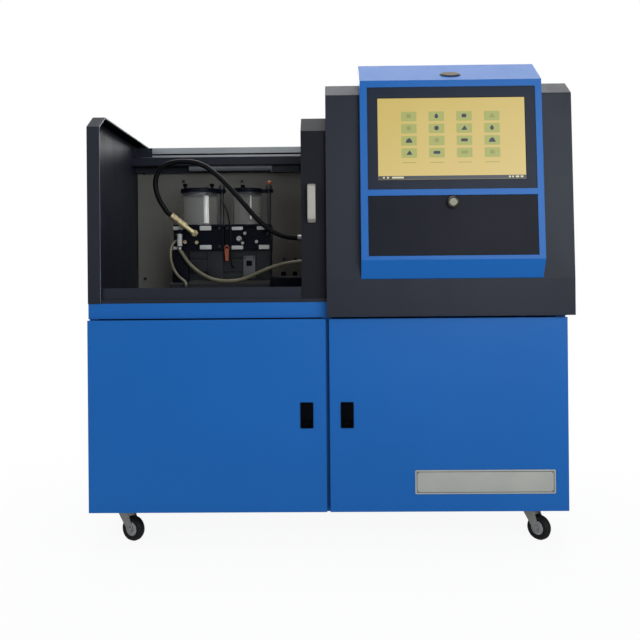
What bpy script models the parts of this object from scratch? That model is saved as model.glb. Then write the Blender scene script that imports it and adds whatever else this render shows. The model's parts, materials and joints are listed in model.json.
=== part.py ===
"""Diesel injector tester: a wheeled cabinet with an open test bay on the left and a console on the right."""

import math

import bmesh
import bpy
from mathutils import Matrix, Vector

for old in list(bpy.data.objects):
    bpy.data.objects.remove(old, do_unlink=True)

# Every size is in metres. x runs right from the cabinet's left side, y runs back from the doors' face,
# and z runs up from the floor. One empty then centres the whole tester over the origin.

# Sheet metal and clearances
SHEET = 0.002
BEND_RADIUS = 0.003
GAP = 0.0003
PIVOT_GAP = 0.0003
OVERRUN = 0.004
ROUND_STEPS = 24
BEND_STEPS = 3

# Cabinet
CABINET_WIDTH = 1.428
CABINET_FRONT = 0.026
CABINET_REAR = 0.743
CABINET_BOTTOM = 0.100
CABINET_TOP = 0.728
FRONT_LIP = 0.028
POST_WIDTH = 0.027
REAR_LIP = 0.060
APRON_FRONT = 0.015
APRON_HEIGHT = 0.046
APRON_BOTTOM = CABINET_TOP - APRON_HEIGHT
DECK_HOLE_X = 0.860
DECK_HOLE_Y = 0.330
DECK_HOLE_WIDTH = 0.240
DECK_HOLE_DEPTH = 0.120

# Doors
DOOR_BOTTOM = 0.105
DOOR_BELOW_APRON = 0.004
DOOR_TOP = APRON_BOTTOM - DOOR_BELOW_APRON
DOOR_DEPTH = 0.020
DOOR_SPLIT = 0.7165
DOOR_GAP = 0.009
DOOR_CORNER = 0.003
HINGE_INSET = 0.010
HINGE_BACK = 0.012
HINGE_END = 0.048
HINGE_PIN_RADIUS = 0.003
HINGE_PIN_LENGTH = 0.012
HINGE_LUG_WIDTH = 0.012
HINGE_LUG = 0.004
HINGE_TAB = 0.003
HINGE_TAB_WIDTH = 0.020
HINGE_TAB_DEPTH = 0.0155
HINGE_NOTCH = 0.003

# Flush latches
LATCH_WIDTH = 0.0385
LATCH_HEIGHT = 0.077
LATCH_BOTTOM = 0.354
LATCH_FLANGE = 0.002
LATCH_RIM = 0.0032
LATCH_WALL = 0.0015
LATCH_DEPTH = 0.013
LATCH_FROM_SPLIT = 0.044
LATCH_CORNER = 0.002
PADDLE = 0.003
PADDLE_HEIGHT = 0.048
PADDLE_PIN_RADIUS = 0.0014
PADDLE_PIN_DROP = 0.0048
PADDLE_LIP = 0.005
PADDLE_TAIL = 0.012
PADDLE_TAIL_WIDTH = 0.012

# Rear cover
REAR_COVER_LAP = 0.020
LOUVRE_COLUMNS = 3
LOUVRE_ROWS = 6
LOUVRE_WIDTH = 0.300
LOUVRE_HEIGHT = 0.026
LOUVRE_PITCH_X = 0.400
LOUVRE_PITCH_Z = 0.060
LOUVRE_DEPTH = 0.009

# Worktop tray
TRAY_LEFT = 0.0023
TRAY_RIGHT = 0.700
TRAY_FRONT = 0.0223
BACK_FRONT = 0.605
TRAY_REAR = BACK_FRONT + SHEET + GAP + SHEET
TRAY_FLOOR_RISE = 0.032
TRAY_FLOOR = CABINET_TOP + TRAY_FLOOR_RISE
SILL_HEIGHT = 0.014
SILL_TOP = TRAY_FLOOR + SILL_HEIGHT
TRAY_RIM_HEIGHT = 0.070
TRAY_RIM = TRAY_FLOOR + TRAY_RIM_HEIGHT
DRAIN_X = 0.2385
DRAIN_Y = 0.312
DRAIN_RADIUS = 0.011
DRAIN_HEIGHT = 0.014

# Heights over the worktop
COVER_HEIGHT = 0.562
COVER_TOP = CABINET_TOP + COVER_HEIGHT
GUARD_ABOVE_COVER = 0.010
HOOD_ABOVE_COVER = 0.0949
CONSOLE_ABOVE_HOOD = 0.0647

# Left guard
GUARD_FRONT = 0.010
GUARD_TOP = COVER_TOP + GUARD_ABOVE_COVER
GUARD_CHAMFER_RISE = 0.041
GUARD_FACE_TOP = GUARD_TOP - GUARD_CHAMFER_RISE
GUARD_TOP_FRONT = 0.075
GUARD_FLANGE = 0.038
GUARD_FLANGE_REAR = 0.640
GUARD_REAR = 0.735

# Bay back panel, beam, rail and lamp
COVER_SHEET = 0.0015
RAIL_LEFT = 0.045
RAIL_FRONT = 0.590
RAIL_DEPTH = 0.022
RAIL_HEIGHT = 0.0426
RAIL_TOP = COVER_TOP - COVER_SHEET - GAP
RAIL_FACE = 0.022
RAIL_GROOVE = 0.006
RAIL_GROOVE_DEPTH = 0.008
BEAM_FRONT = 0.534
BEAM_DEPTH = 0.106
BEAM_HEIGHT = 0.0316
BEAM_TOP = RAIL_TOP - RAIL_HEIGHT - GAP
BEAM_BOTTOM = BEAM_TOP - BEAM_HEIGHT
BEAM_LEG_FRONT = 0.585
BEAM_LEG_DROP = 0.0197
BACK_TOP = BEAM_BOTTOM - GAP
BACK_REAR = 0.735
LAMP_LEFT = 0.2076
LAMP_WIDTH = 0.3055
LAMP_HEIGHT = 0.0158
LAMP_DEPTH = 0.026
DRIVER_WIDTH = 0.104
DRIVER_HEIGHT = 0.0235
DRIVER_DEPTH = 0.030
LAMP_FRONT = 0.552

# Sliding cover
COVER_EDGE = 0.641
COVER_LENGTH = 0.740
COVER_FRONT = 0.018
COVER_CHAMFER_RISE = 0.050
COVER_FACE_TOP = COVER_TOP - COVER_CHAMFER_RISE
COVER_TOP_FRONT = 0.080
COVER_REAR = 0.738
COVER_REAR_LIP = 0.028
COVER_STIFFENER = 0.018
COVER_STIFFENER_REAR = 0.550
COVER_STIFFENER_RISE = 0.054
COVER_STIFFENER_BOTTOM = CABINET_TOP + COVER_STIFFENER_RISE
TRACK_FRONT = 0.0155
TRACK_DEPTH = 0.0065
TRACK_WALL = 0.0012
TRACK_HEIGHT = 0.010
TRACK_END = 1.400
HANDLE_INSET = 0.0195
HANDLE_RISE = 0.235
HANDLE_BOTTOM = CABINET_TOP + HANDLE_RISE
HANDLE_WIDTH = 0.0245
HANDLE_LENGTH = 0.121
HANDLE_HEIGHT = 0.030
HANDLE_GRIP = 0.011
HANDLE_FOOT = 0.024

# Hood
HOOD_LEFT = 0.716
HOOD_WIDTH = 0.728
HOOD_FRONT = -0.0236
HOOD_DROP = 0.0426
HOOD_BOTTOM = CABINET_TOP - HOOD_DROP
HOOD_FOLD_RISE = 0.0666
HOOD_FOLD = CABINET_TOP + HOOD_FOLD_RISE
HOOD_FACE_TOP_Y = 0.0028
HOOD_TOP_FRONT = 0.0624
HOOD_TOP = COVER_TOP + HOOD_ABOVE_COVER
HOOD_CHAMFER_RISE = 0.0423
HOOD_FACE_TOP = HOOD_TOP - HOOD_CHAMFER_RISE
HOOD_REAR = 0.745
HOOD_CLEAR_OF_COVER = 0.0025

# Port panel and its hose ends
PORT_PANEL_LEFT = 0.7025
PORT_PANEL_FRONT = 0.100
PORT_PANEL_TOP = BEAM_BOTTOM - BEAM_LEG_DROP - GAP
PORT_PANEL_RETURN = 0.040
PORT_Y = 0.305
PORT_RISE = 0.174
PORT_Z = TRAY_FLOOR + PORT_RISE
PORT_RADIUS = 0.0115
PORT_LENGTH = 0.062
PORT_NUT_RADIUS = 0.017
PORT_NUT = 0.014
SMALL_PORT_Y = 0.330
SMALL_PORT_RISE = 0.097
SMALL_PORT_Z = TRAY_FLOOR + SMALL_PORT_RISE
SMALL_PORT_RADIUS = 0.0085
SMALL_PORT_LENGTH = 0.024

# Console
CONSOLE_LEFT = 0.8176
CONSOLE_WIDTH = 0.5333
CONSOLE_FOOT_ABOVE_FOLD = 0.0014
CONSOLE_FOOT = HOOD_FOLD + CONSOLE_FOOT_ABOVE_FOLD
CONSOLE_FRONT = -0.0546
CONSOLE_FOOT_RISE = 0.0547
CONSOLE_FRONT_Z = CONSOLE_FOOT + CONSOLE_FOOT_RISE
CONSOLE_BROW = -0.0181
CONSOLE_CREST = 0.082
CONSOLE_TOP = HOOD_TOP + CONSOLE_ABOVE_HOOD
CONSOLE_BROW_DROP = 0.0701
CONSOLE_BROW_Z = CONSOLE_TOP - CONSOLE_BROW_DROP
CONSOLE_CREST_DEPTH = 0.060
CONSOLE_SIDE = 0.0212
SCREEN_WINDOW_LOW = 0.206
SCREEN_WINDOW_HEIGHT = 0.304
LID_WINDOW_LOW = 0.0115
LID_WINDOW_HEIGHT = 0.1765
SCREEN_PANEL = 0.003
SCREEN_PANEL_LAP = 0.007
DISPLAY_WIDTH = 0.432
DISPLAY_HEIGHT = 0.243
DISPLAY_LOW = 0.2345
DISPLAY_MARGIN = 0.001
MONITOR_MARGIN = 0.014
MONITOR_DEPTH = 0.027
MONITOR_STEP = 0.0025
HOOD_WINDOW_INSET = 0.017
HOOD_WINDOW_ABOVE_FOLD = 0.0554
HOOD_WINDOW_LOW = HOOD_FOLD + HOOD_WINDOW_ABOVE_FOLD
HOOD_WINDOW_BELOW_TOP = 0.0369
HOOD_WINDOW_TOP = HOOD_TOP - HOOD_WINDOW_BELOW_TOP

# Keyboard lid
LID_GAP = 0.0008
LID_RECESS = 0.001
LID_RETURN = 0.011
LID_AXIS_UP = 0.007
LID_AXIS_IN = 0.0055
LID_PIN_RADIUS = 0.003
LID_PIN_LENGTH = 0.014
LID_BOSS_RADIUS = 0.0035
LID_TAB = 0.003
LID_TAB_RADIUS = 0.006
KEYBOARD_WIDTH = 0.440
KEYBOARD_LOW = 0.022
KEYBOARD_HEIGHT = 0.126
KEYBOARD_THICK = 0.009
KEY_ROWS = 5
KEY_HEIGHT = 0.004
KEY_MARGIN = 0.009
KEY_ROW_GAP = 0.003
KNOB_UP = 0.1665
KNOB_RADIUS = 0.0175
KNOB_HEIGHT = 0.014
KNOB_RIM = 0.003
KNOB_DISH = 0.011
KNOB_NECK = 0.010
KNOB_SHAFT = 0.005
KNOB_TONGUE = 0.027
KNOB_TONGUE_WIDTH = 0.012

# Casters
CASTER_INSET_X = 0.092
CASTER_INSET_Y = 0.085
CASTER_PLATE_X = 0.070
CASTER_PLATE_Y = 0.060
CASTER_PLATE = 0.003
CASTER_PLATE_CORNER = 0.006
CASTER_RACE_RADIUS = 0.024
CASTER_RACE = 0.006
CASTER_TRAIL = 0.028
FORK_SHEET = 0.0025
FORK_HALF = 0.0165
FORK_CROWN_RADIUS = 0.026
FORK_CROWN = 0.004
FORK_FOOT_RADIUS = 0.011
WHEEL_RADIUS = 0.0375
WHEEL_WIDTH = 0.026
WHEEL_CROWN = 0.004
WHEEL_HUB_RADIUS = 0.022
WHEEL_HUB_STEP = 0.003
AXLE_RADIUS = 0.005
AXLE_HEAD_RADIUS = 0.008
AXLE_HEAD = 0.003
CASTER_TURN_LEFT = -30.0
CASTER_TURN_RIGHT = -50.0
CASTER_TURN_REAR_LEFT = 35.0
CASTER_TURN_REAR_RIGHT = 60.0

# Test fixture in the bay
BASE_LEFT = 0.180
BASE_WIDTH = 0.340
BASE_FRONT = 0.330
BASE_DEPTH = 0.150
BASE_FOOT = 0.022
BASE_UPRIGHT_IN = 0.042
BASE_UPRIGHT = 0.083
BASE_HEIGHT = 0.1377
BASE_TOP = TRAY_FLOOR + BASE_HEIGHT
BASE_SLOT = 0.010
BASE_SLOT_DEPTH = 0.007
BASE_SLOT_LOW = 0.036
BASE_SLOT_PITCH = 0.048
MANIFOLD_FRONT = 0.350
MANIFOLD_DEPTH = 0.100
MANIFOLD_HEIGHT = 0.087
MANIFOLD_TOP = BASE_TOP + MANIFOLD_HEIGHT
MANIFOLD_FLANGE = 0.0075
MANIFOLD_RECESS = 0.009
LEFT_MANIFOLD_X = 0.189
LEFT_MANIFOLD_WIDTH = 0.173
RIGHT_MANIFOLD_X = 0.366
RIGHT_MANIFOLD_WIDTH = 0.157
GLASS_Y = 0.402
LEFT_GLASS_X = 0.2745
LEFT_GLASS_RADIUS = 0.064
RIGHT_GLASS_X = 0.4385
RIGHT_GLASS_RADIUS = 0.050
GLASS_WALL = 0.004
GLASS_HEIGHT = 0.1113
GLASS_TOP = MANIFOLD_TOP + GLASS_HEIGHT
CAP_THICK = 0.014
CAP_OVERHANG = 0.004
CAP_SPIGOT = 0.008
CAP_LUG_RADIUS = 0.0145
NOZZLE_RADIUS = 0.0075
NOZZLE_FROM_AXIS = 0.021
NOZZLE_CLEAR = 0.006
LEFT_POST_X = 0.350
RIGHT_POST_X = 0.515
POST_RADIUS = 0.0065
POST_ABOVE_GLASS = 0.030
POST_TOP = GLASS_TOP + POST_ABOVE_GLASS
POST_NUT_RADIUS = 0.011
POST_NUT = 0.010

# Fittings on the left manifold
FITTING_X = 0.262
FITTING_DROP = 0.0287
FITTING_Z = MANIFOLD_TOP - FITTING_DROP
FITTING_HEX_RADIUS = 0.012
FITTING_HEX = 0.012
FITTING_HEX_TURN = 8.0
FITTING_NECK_RADIUS = 0.0075
FITTING_REACH = 0.032
FERRULE_RADIUS = 0.0115
FERRULE_LENGTH = 0.062
FERRULE_ROLL_COUNT = 3
FERRULE_GROOVE = 0.0012
FERRULE_DIRECTION = (-0.77, -0.08, 0.62)
DRAIN_BARB_X = 0.2145
DRAIN_BARB_Y = 0.333
DRAIN_BARB_DROP = 0.0187
DRAIN_BARB_TOP = MANIFOLD_TOP - DRAIN_BARB_DROP
DRAIN_BARB_LENGTH = 0.055
DRAIN_BARB_BOTTOM = DRAIN_BARB_TOP - DRAIN_BARB_LENGTH
DRAIN_BARB_RADIUS = 0.008
RETURN_BARB_DROP = 0.0547
RETURN_BARB_Z = MANIFOLD_TOP - RETURN_BARB_DROP
RETURN_BARB_Y = 0.349
RETURN_BARB_END = 0.212
RETURN_BARB_START = 0.236
RETURN_BARB_RADIUS = 0.0065

# Valve lever, valve block and flow knobs
LEVER_X = 0.3735
LEVER_RISE = 0.0083
LEVER_Z = BASE_TOP + LEVER_RISE
LEVER_LENGTH = 0.046
LEVER_WIDTH = 0.016
LEVER_TIP_WIDTH = 0.010
LEVER_THICK = 0.006
LEVER_HUB_RADIUS = 0.008
LEVER_STEM_RADIUS = 0.004
LEVER_STEM = 0.013
VALVE_BLOCK_X = 0.5225
VALVE_BLOCK_WIDTH = 0.1675
VALVE_BLOCK_FRONT = 0.362
VALVE_BLOCK_DEPTH = 0.075
VALVE_BLOCK_HEIGHT = 0.046
VALVE_BLOCK_CHAMFER = 0.006
FLOW_KNOB_FROM_LEFT = 0.041
FLOW_KNOB_PITCH = 0.0395
FLOW_KNOB_RADIUS = 0.008
FLOW_KNOB_HEIGHT = 0.015
FLOW_STEM_RADIUS = 0.003
FLOW_STEM = 0.010

# Hoses and cable
PRESSURE_HOSE_RADIUS = 0.0085
DRAIN_HOSE_RADIUS = 0.0062
RETURN_HOSE_RADIUS = 0.0048
CABLE_RADIUS = 0.0024
HOSE_RING_STEPS = 3
CABLE_RING_STEPS = 2

# Each route is x, y and the height over the tray's floor
PRESSURE_ROUTE = [
    (0.1665, 0.3195, 0.2795),
    (0.1510, 0.3165, 0.3060),
    (0.1405, 0.3135, 0.3370),
    (0.1380, 0.3110, 0.3670),
    (0.1450, 0.3090, 0.3940),
    (0.1605, 0.3070, 0.4150),
    (0.1830, 0.3060, 0.4280),
    (0.2090, 0.3050, 0.4335),
    (0.2400, 0.3040, 0.4350),
    (0.2715, 0.3040, 0.4315),
    (0.3025, 0.3040, 0.4210),
    (0.3295, 0.3040, 0.4030),
    (0.3560, 0.3050, 0.3805),
    (0.3820, 0.3050, 0.3540),
    (0.4080, 0.3050, 0.3255),
    (0.4340, 0.3050, 0.2955),
    (0.4600, 0.3050, 0.2640),
    (0.4860, 0.3050, 0.2350),
    (0.5120, 0.3050, 0.2110),
    (0.5385, 0.3050, 0.1935),
    (0.5650, 0.3050, 0.1825),
    (0.5930, 0.3050, 0.1760),
]
DRAIN_ROUTE = [
    (0.2215, 0.3320, 0.1290),
    (0.2390, 0.3305, 0.1020),
    (0.2600, 0.3290, 0.0790),
    (0.2865, 0.3280, 0.0580),
    (0.3180, 0.3270, 0.0415),
    (0.3500, 0.3260, 0.0330),
    (0.3820, 0.3260, 0.0310),
    (0.4190, 0.3260, 0.0345),
    (0.4560, 0.3260, 0.0470),
    (0.4930, 0.3270, 0.0630),
    (0.5300, 0.3280, 0.0770),
    (0.5675, 0.3290, 0.0870),
    (0.6050, 0.3300, 0.0930),
    (0.6400, 0.3300, 0.0965),
]
RETURN_ROUTE = [
    (0.1935, 0.3475, 0.1660),
    (0.1855, 0.3430, 0.1540),
    (0.1820, 0.3405, 0.1380),
    (0.1820, 0.3380, 0.1180),
    (0.1860, 0.3340, 0.0950),
    (0.1950, 0.3280, 0.0720),
    (0.2090, 0.3210, 0.0520),
    (0.2240, 0.3150, 0.0390),
    (0.2340, 0.3125, 0.0320),
]
CABLE_ROUTE = [
    (0.3530, 0.3700, 0.3070),
    (0.3620, 0.3550, 0.2960),
    (0.3716, 0.3450, 0.2780),
    (0.3805, 0.3375, 0.2480),
    (0.3875, 0.3330, 0.2100),
    (0.3890, 0.3310, 0.1750),
    (0.3880, 0.3300, 0.1450),
    (0.3880, 0.3300, 0.1180),
    (0.3895, 0.3330, 0.0950),
    (0.3920, 0.3440, 0.0805),
]
CABLE_START_RISE = 0.313
CABLE_END_RISE = 0.078
CABLE_END_X = 0.393

# Machinery inside the cabinet
TANK_LEFT = 0.060
TANK_WIDTH = 0.360
TANK_FRONT = 0.330
TANK_DEPTH = 0.340
TANK_HEIGHT = 0.330
TANK_CORNER = 0.020
NECK_RADIUS = 0.030
NECK_HEIGHT = 0.025
NECK_WALL = 0.003
MOTOR_LEFT = 0.500
MOTOR_LENGTH = 0.270
MOTOR_Y = 0.500
MOTOR_AXIS = 0.100
MOTOR_RADIUS = 0.076
MOTOR_FIN_COUNT = 20
MOTOR_FIN = 0.008
MOTOR_FIN_SHARE = 0.45
MOTOR_BELL = 0.035
MOTOR_SHAFT_RADIUS = 0.012
MOTOR_SHAFT = 0.024
MOTOR_FOOT_WIDTH = 0.180
MOTOR_FOOT_LENGTH = 0.180
MOTOR_FOOT = 0.010
MOTOR_FOOT_RISE = 0.034
COUPLING_RADIUS = 0.034
COUPLING_LENGTH = 0.052
COUPLING_WAIST = 0.024
PUMP_LENGTH = 0.105
PUMP_RADIUS = 0.052
PUMP_HEAD_COUNT = 3
PUMP_HEAD_RADIUS = 0.020
PUMP_HEAD_REACH = 0.082
PUMP_FLANGE_RADIUS = 0.066
PUMP_FLANGE = 0.010
PUMP_FOOT_WIDTH = 0.150
PUMP_FOOT = 0.010
CONTROL_FROM_RIGHT = 0.328
CONTROL_LEFT = CABINET_WIDTH - CONTROL_FROM_RIGHT
CONTROL_WIDTH = 0.300
CONTROL_DEPTH = 0.150
CONTROL_BOTTOM = 0.180
CONTROL_HEIGHT = 0.400
CONTROL_LID = 0.016
CONTROL_LID_STEP = 0.003
CONTROL_CABLE_HOLE = 0.050

# Colours as linear red, green, blue
BLUE = (0.018, 0.125, 0.42)
DARK_GREY = (0.045, 0.050, 0.062)
PANEL_GREY = (0.37, 0.35, 0.31)
BLACK = (0.012, 0.012, 0.014)
STEEL = (0.50, 0.50, 0.49)
BRASS = (0.60, 0.48, 0.24)
IVORY = (0.72, 0.70, 0.64)

tester = bpy.data.objects.new("tester_frame", None)
bpy.context.scene.collection.objects.link(tester)


def finish(name, colour, roughness, metallic=0.0, alpha=1.0):
    """A Principled material in one colour."""
    material = bpy.data.materials.new(name)
    material.use_nodes = True
    shader = material.node_tree.nodes["Principled BSDF"]
    shader.inputs["Base Color"].default_value = (*colour, 1.0)
    shader.inputs["Roughness"].default_value = roughness
    shader.inputs["Metallic"].default_value = metallic
    shader.inputs["Alpha"].default_value = alpha
    return material


# Outlines

def turn_normal(start, end):
    """The unit vector to the left of the way from start to end."""
    along = (Vector(end) - Vector(start)).normalized()
    return Vector((-along.y, along.x))


def offset_path(path, distance):
    """An open path moved sideways to the left of its own direction, with mitred corners."""
    points = [Vector(point) for point in path]
    moved = []
    for index, point in enumerate(points):
        before = turn_normal(points[max(index - 1, 0)], points[max(index, 1)])
        after = turn_normal(points[min(index, len(points) - 2)], points[min(index + 1, len(points) - 1)])
        middle = (before + after).normalized()
        moved.append(tuple(point + middle * (distance / middle.dot(before))))
    return moved


def fillet(points, radius, closed=True, steps=BEND_STEPS):
    """The outline with its corners rounded, each limited to half of the shorter side beside it."""
    rounded = []
    count = len(points)
    for index, corner in enumerate(points):
        if not closed and index in (0, count - 1):
            rounded.append(tuple(corner))
            continue
        here = Vector(corner)
        to_last = Vector(points[index - 1]) - here
        to_next = Vector(points[(index + 1) % count]) - here
        half_angle = to_last.angle(to_next) / 2
        reach = radius / math.tan(half_angle)
        reach = min(reach, to_last.length / 2, to_next.length / 2)
        start = here + to_last.normalized() * reach
        end = here + to_next.normalized() * reach
        centre_line = (to_last.normalized() + to_next.normalized()).normalized()
        centre = here + centre_line * (reach / math.cos(half_angle))
        first = (start - centre)
        sweep = first.angle_signed(end - centre)
        for step in range(steps + 1):
            arm = first.copy()
            arm.rotate(Matrix.Rotation(-sweep * step / steps, 2))
            rounded.append(tuple(centre + arm))
    return rounded


def sheet_middle(path, thickness):
    """The middle line of a bent sheet whose outer face follows the path, with its body on the left."""
    return fillet(offset_path(path, thickness / 2), BEND_RADIUS + thickness / 2, closed=False)


def folded_outline(path, thickness):
    """The closed outline of that bent sheet."""
    middle = sheet_middle(path, thickness)
    return offset_path(middle, -thickness / 2) + offset_path(middle, thickness / 2)[::-1]


def rectangle(low, high):
    return [(low[0], low[1]), (high[0], low[1]), (high[0], high[1]), (low[0], high[1])]


# Solids

def solid(bm):
    """A scene object holding this mesh, with its faces turned outwards."""
    bmesh.ops.recalc_face_normals(bm, faces=bm.faces)
    mesh = bpy.data.meshes.new("shape")
    bm.to_mesh(mesh)
    bm.free()
    obj = bpy.data.objects.new("shape", mesh)
    bpy.context.scene.collection.objects.link(obj)
    return obj


def prism(outline, low, high, axis="X"):
    """An outline pulled along an axis. It is given as (y, z) for X, (x, z) for Y and (x, y) for Z."""
    place = {
        "X": lambda a, b, along: (along, a, b),
        "Y": lambda a, b, along: (a, along, b),
        "Z": lambda a, b, along: (a, b, along),
    }[axis]
    bm = bmesh.new()
    near = [bm.verts.new(place(a, b, low)) for a, b in outline]
    far = [bm.verts.new(place(a, b, high)) for a, b in outline]
    bm.faces.new(near)
    bm.faces.new(far[::-1])
    for index in range(len(outline)):
        after = (index + 1) % len(outline)
        bm.faces.new((near[after], near[index], far[index], far[after]))
    return solid(bm)


def box(low, high):
    return prism(rectangle((low[1], low[2]), (high[1], high[2])), low[0], high[0])


def turned(profile, centre, direction, steps=ROUND_STEPS, closed=False):
    """A profile of (radius, distance) spun round a line. A closed profile makes a ring."""
    turn = Vector((0, 0, 1)).rotation_difference(Vector(direction)).to_matrix().to_4x4()
    place = Matrix.Translation(centre) @ turn
    bm = bmesh.new()
    rings = []
    for radius, along in profile:
        if radius == 0:
            rings.append([bm.verts.new(place @ Vector((0, 0, along)))] * steps)
            continue
        ring = []
        for step in range(steps):
            angle = 2 * math.pi * step / steps
            point = Vector((radius * math.cos(angle), radius * math.sin(angle), along))
            ring.append(bm.verts.new(place @ point))
        rings.append(ring)
    if closed:
        rings.append(rings[0])
    for ring, after in zip(rings, rings[1:]):
        for step in range(steps):
            beside = (step + 1) % steps
            corners = [ring[step], ring[beside], after[beside], after[step]]
            corners = list(dict.fromkeys(corners))
            if len(corners) > 2:
                bm.faces.new(corners)
    return solid(bm)


def rod(start, end, radius, steps=ROUND_STEPS):
    """A round bar between two points."""
    line = Vector(end) - Vector(start)
    return turned([(0, 0), (radius, 0), (radius, line.length), (0, line.length)], start, line, steps)


def combine(base, tool, operation):
    """The base after a Boolean with the tool, which is used up."""
    modifier = base.modifiers.new("combine", "BOOLEAN")
    modifier.operation = operation
    modifier.object = tool
    graph = bpy.context.evaluated_depsgraph_get()
    mesh = bpy.data.meshes.new_from_object(base.evaluated_get(graph))
    base.modifiers.clear()
    base.data = mesh
    bpy.data.objects.remove(tool, do_unlink=True)
    return base


def cut(base, *tools):
    for tool in tools:
        combine(base, tool, "DIFFERENCE")
    return base


def fuse(base, *tools):
    for tool in tools:
        combine(base, tool, "UNION")
    return base


def move(obj, matrix):
    obj.data.transform(matrix)
    return obj


def node(name, obj, material, parent=tester, pivot=(0, 0, 0)):
    """Names a finished solid and puts its origin on its pivot, which is given in the cabinet's frame."""
    obj.name = name
    obj.data.name = name
    obj.data.transform(Matrix.Translation(-Vector(pivot)))
    obj.data.materials.clear()
    obj.data.materials.append(material)
    obj.data.shade_smooth()
    obj.data.set_sharp_from_angle(angle=math.radians(32))
    obj.parent = parent
    obj.location = Vector(pivot) - PIVOTS.get(parent.name, Vector((0, 0, 0)))
    PIVOTS[name] = Vector(pivot)
    return obj


PIVOTS = {}

blue_paint = finish("blue_paint", BLUE, 0.35)
grey_paint = finish("grey_paint", DARK_GREY, 0.5)
panel_paint = finish("panel_paint", PANEL_GREY, 0.55)
black_plastic = finish("black_plastic", BLACK, 0.45)
black_metal = finish("black_metal", BLACK, 0.4, 0.5)
bright_steel = finish("bright_steel", STEEL, 0.3, 1.0)
brass = finish("brass", BRASS, 0.32, 1.0)
rubber = finish("rubber", (0.02, 0.02, 0.022), 0.75)
clear_glass = finish("clear_glass", (0.9, 0.92, 0.92), 0.05, 0.0, 0.35)
clear_hose = finish("clear_hose", (0.42, 0.37, 0.22), 0.3)
ivory_plastic = finish("ivory_plastic", IVORY, 0.4)
red_grip = finish("red_grip", (0.42, 0.06, 0.02), 0.5)
lamp_white = finish("lamp_white", (0.8, 0.8, 0.78), 0.5)
screen_glass = finish("screen_glass", (0.62, 0.42, 0.16), 0.25)
cast_grey = finish("cast_grey", (0.10, 0.12, 0.12), 0.6, 0.3)


# Cabinet

HINGE_HEIGHTS = (DOOR_BOTTOM + HINGE_END, DOOR_TOP - HINGE_END - HINGE_LUG)


def hinge_lug(axis_x, height):
    """A lug on the cabinet's front with a pin standing on it, which a door's tab drops over."""
    half = HINGE_LUG_WIDTH / 2
    rear = CABINET_FRONT + SHEET / 2
    arc = [
        (axis_x - half * math.cos(turn), HINGE_BACK - half * math.sin(turn))
        for turn in (math.pi * step / 6 for step in range(7))
    ]
    lug = prism([(axis_x - half, rear), *arc, (axis_x + half, rear)], height, height + HINGE_LUG, "Z")
    foot = height + HINGE_LUG / 2
    return fuse(lug, rod((axis_x, HINGE_BACK, foot),
                         (axis_x, HINGE_BACK, height + HINGE_LUG + HINGE_PIN_LENGTH), HINGE_PIN_RADIUS, 16))


def cabinet_shell():
    right = CABINET_WIDTH
    shell = box((0, CABINET_FRONT, CABINET_BOTTOM), (right, CABINET_REAR, CABINET_TOP))
    apron = box((0, APRON_FRONT, APRON_BOTTOM), (right, CABINET_FRONT + SHEET, CABINET_TOP))
    fuse(shell, apron)
    low_z = CABINET_BOTTOM + SHEET
    high_z = CABINET_TOP - SHEET
    inside = box((SHEET, CABINET_FRONT + SHEET, low_z), (right - SHEET, CABINET_REAR - SHEET, high_z))
    apron_inside = box((SHEET, APRON_FRONT + SHEET, APRON_BOTTOM + SHEET),
                       (right - SHEET, CABINET_FRONT + SHEET + OVERRUN, high_z))
    cut(shell, inside, apron_inside)
    opening_low = DOOR_BOTTOM + FRONT_LIP
    opening_high = APRON_BOTTOM
    for low_x, high_x in ((FRONT_LIP, DOOR_SPLIT - POST_WIDTH / 2),
                          (DOOR_SPLIT + POST_WIDTH / 2, right - FRONT_LIP)):
        cut(shell, box((low_x, CABINET_FRONT - OVERRUN, opening_low),
                       (high_x, CABINET_FRONT + SHEET + OVERRUN, opening_high - SHEET)))
    cut(shell, box((REAR_LIP, CABINET_REAR - SHEET - OVERRUN, CABINET_BOTTOM + REAR_LIP),
                   (right - REAR_LIP, CABINET_REAR + OVERRUN, CABINET_TOP - REAR_LIP)))
    cut(shell, box((DECK_HOLE_X, DECK_HOLE_Y, high_z - OVERRUN),
                   (DECK_HOLE_X + DECK_HOLE_WIDTH, DECK_HOLE_Y + DECK_HOLE_DEPTH, CABINET_TOP + OVERRUN)))
    for axis_x in (HINGE_INSET, right - HINGE_INSET):
        for height in HINGE_HEIGHTS:
            fuse(shell, hinge_lug(axis_x, height))
    node("cabinet_shell", shell, blue_paint)


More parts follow.
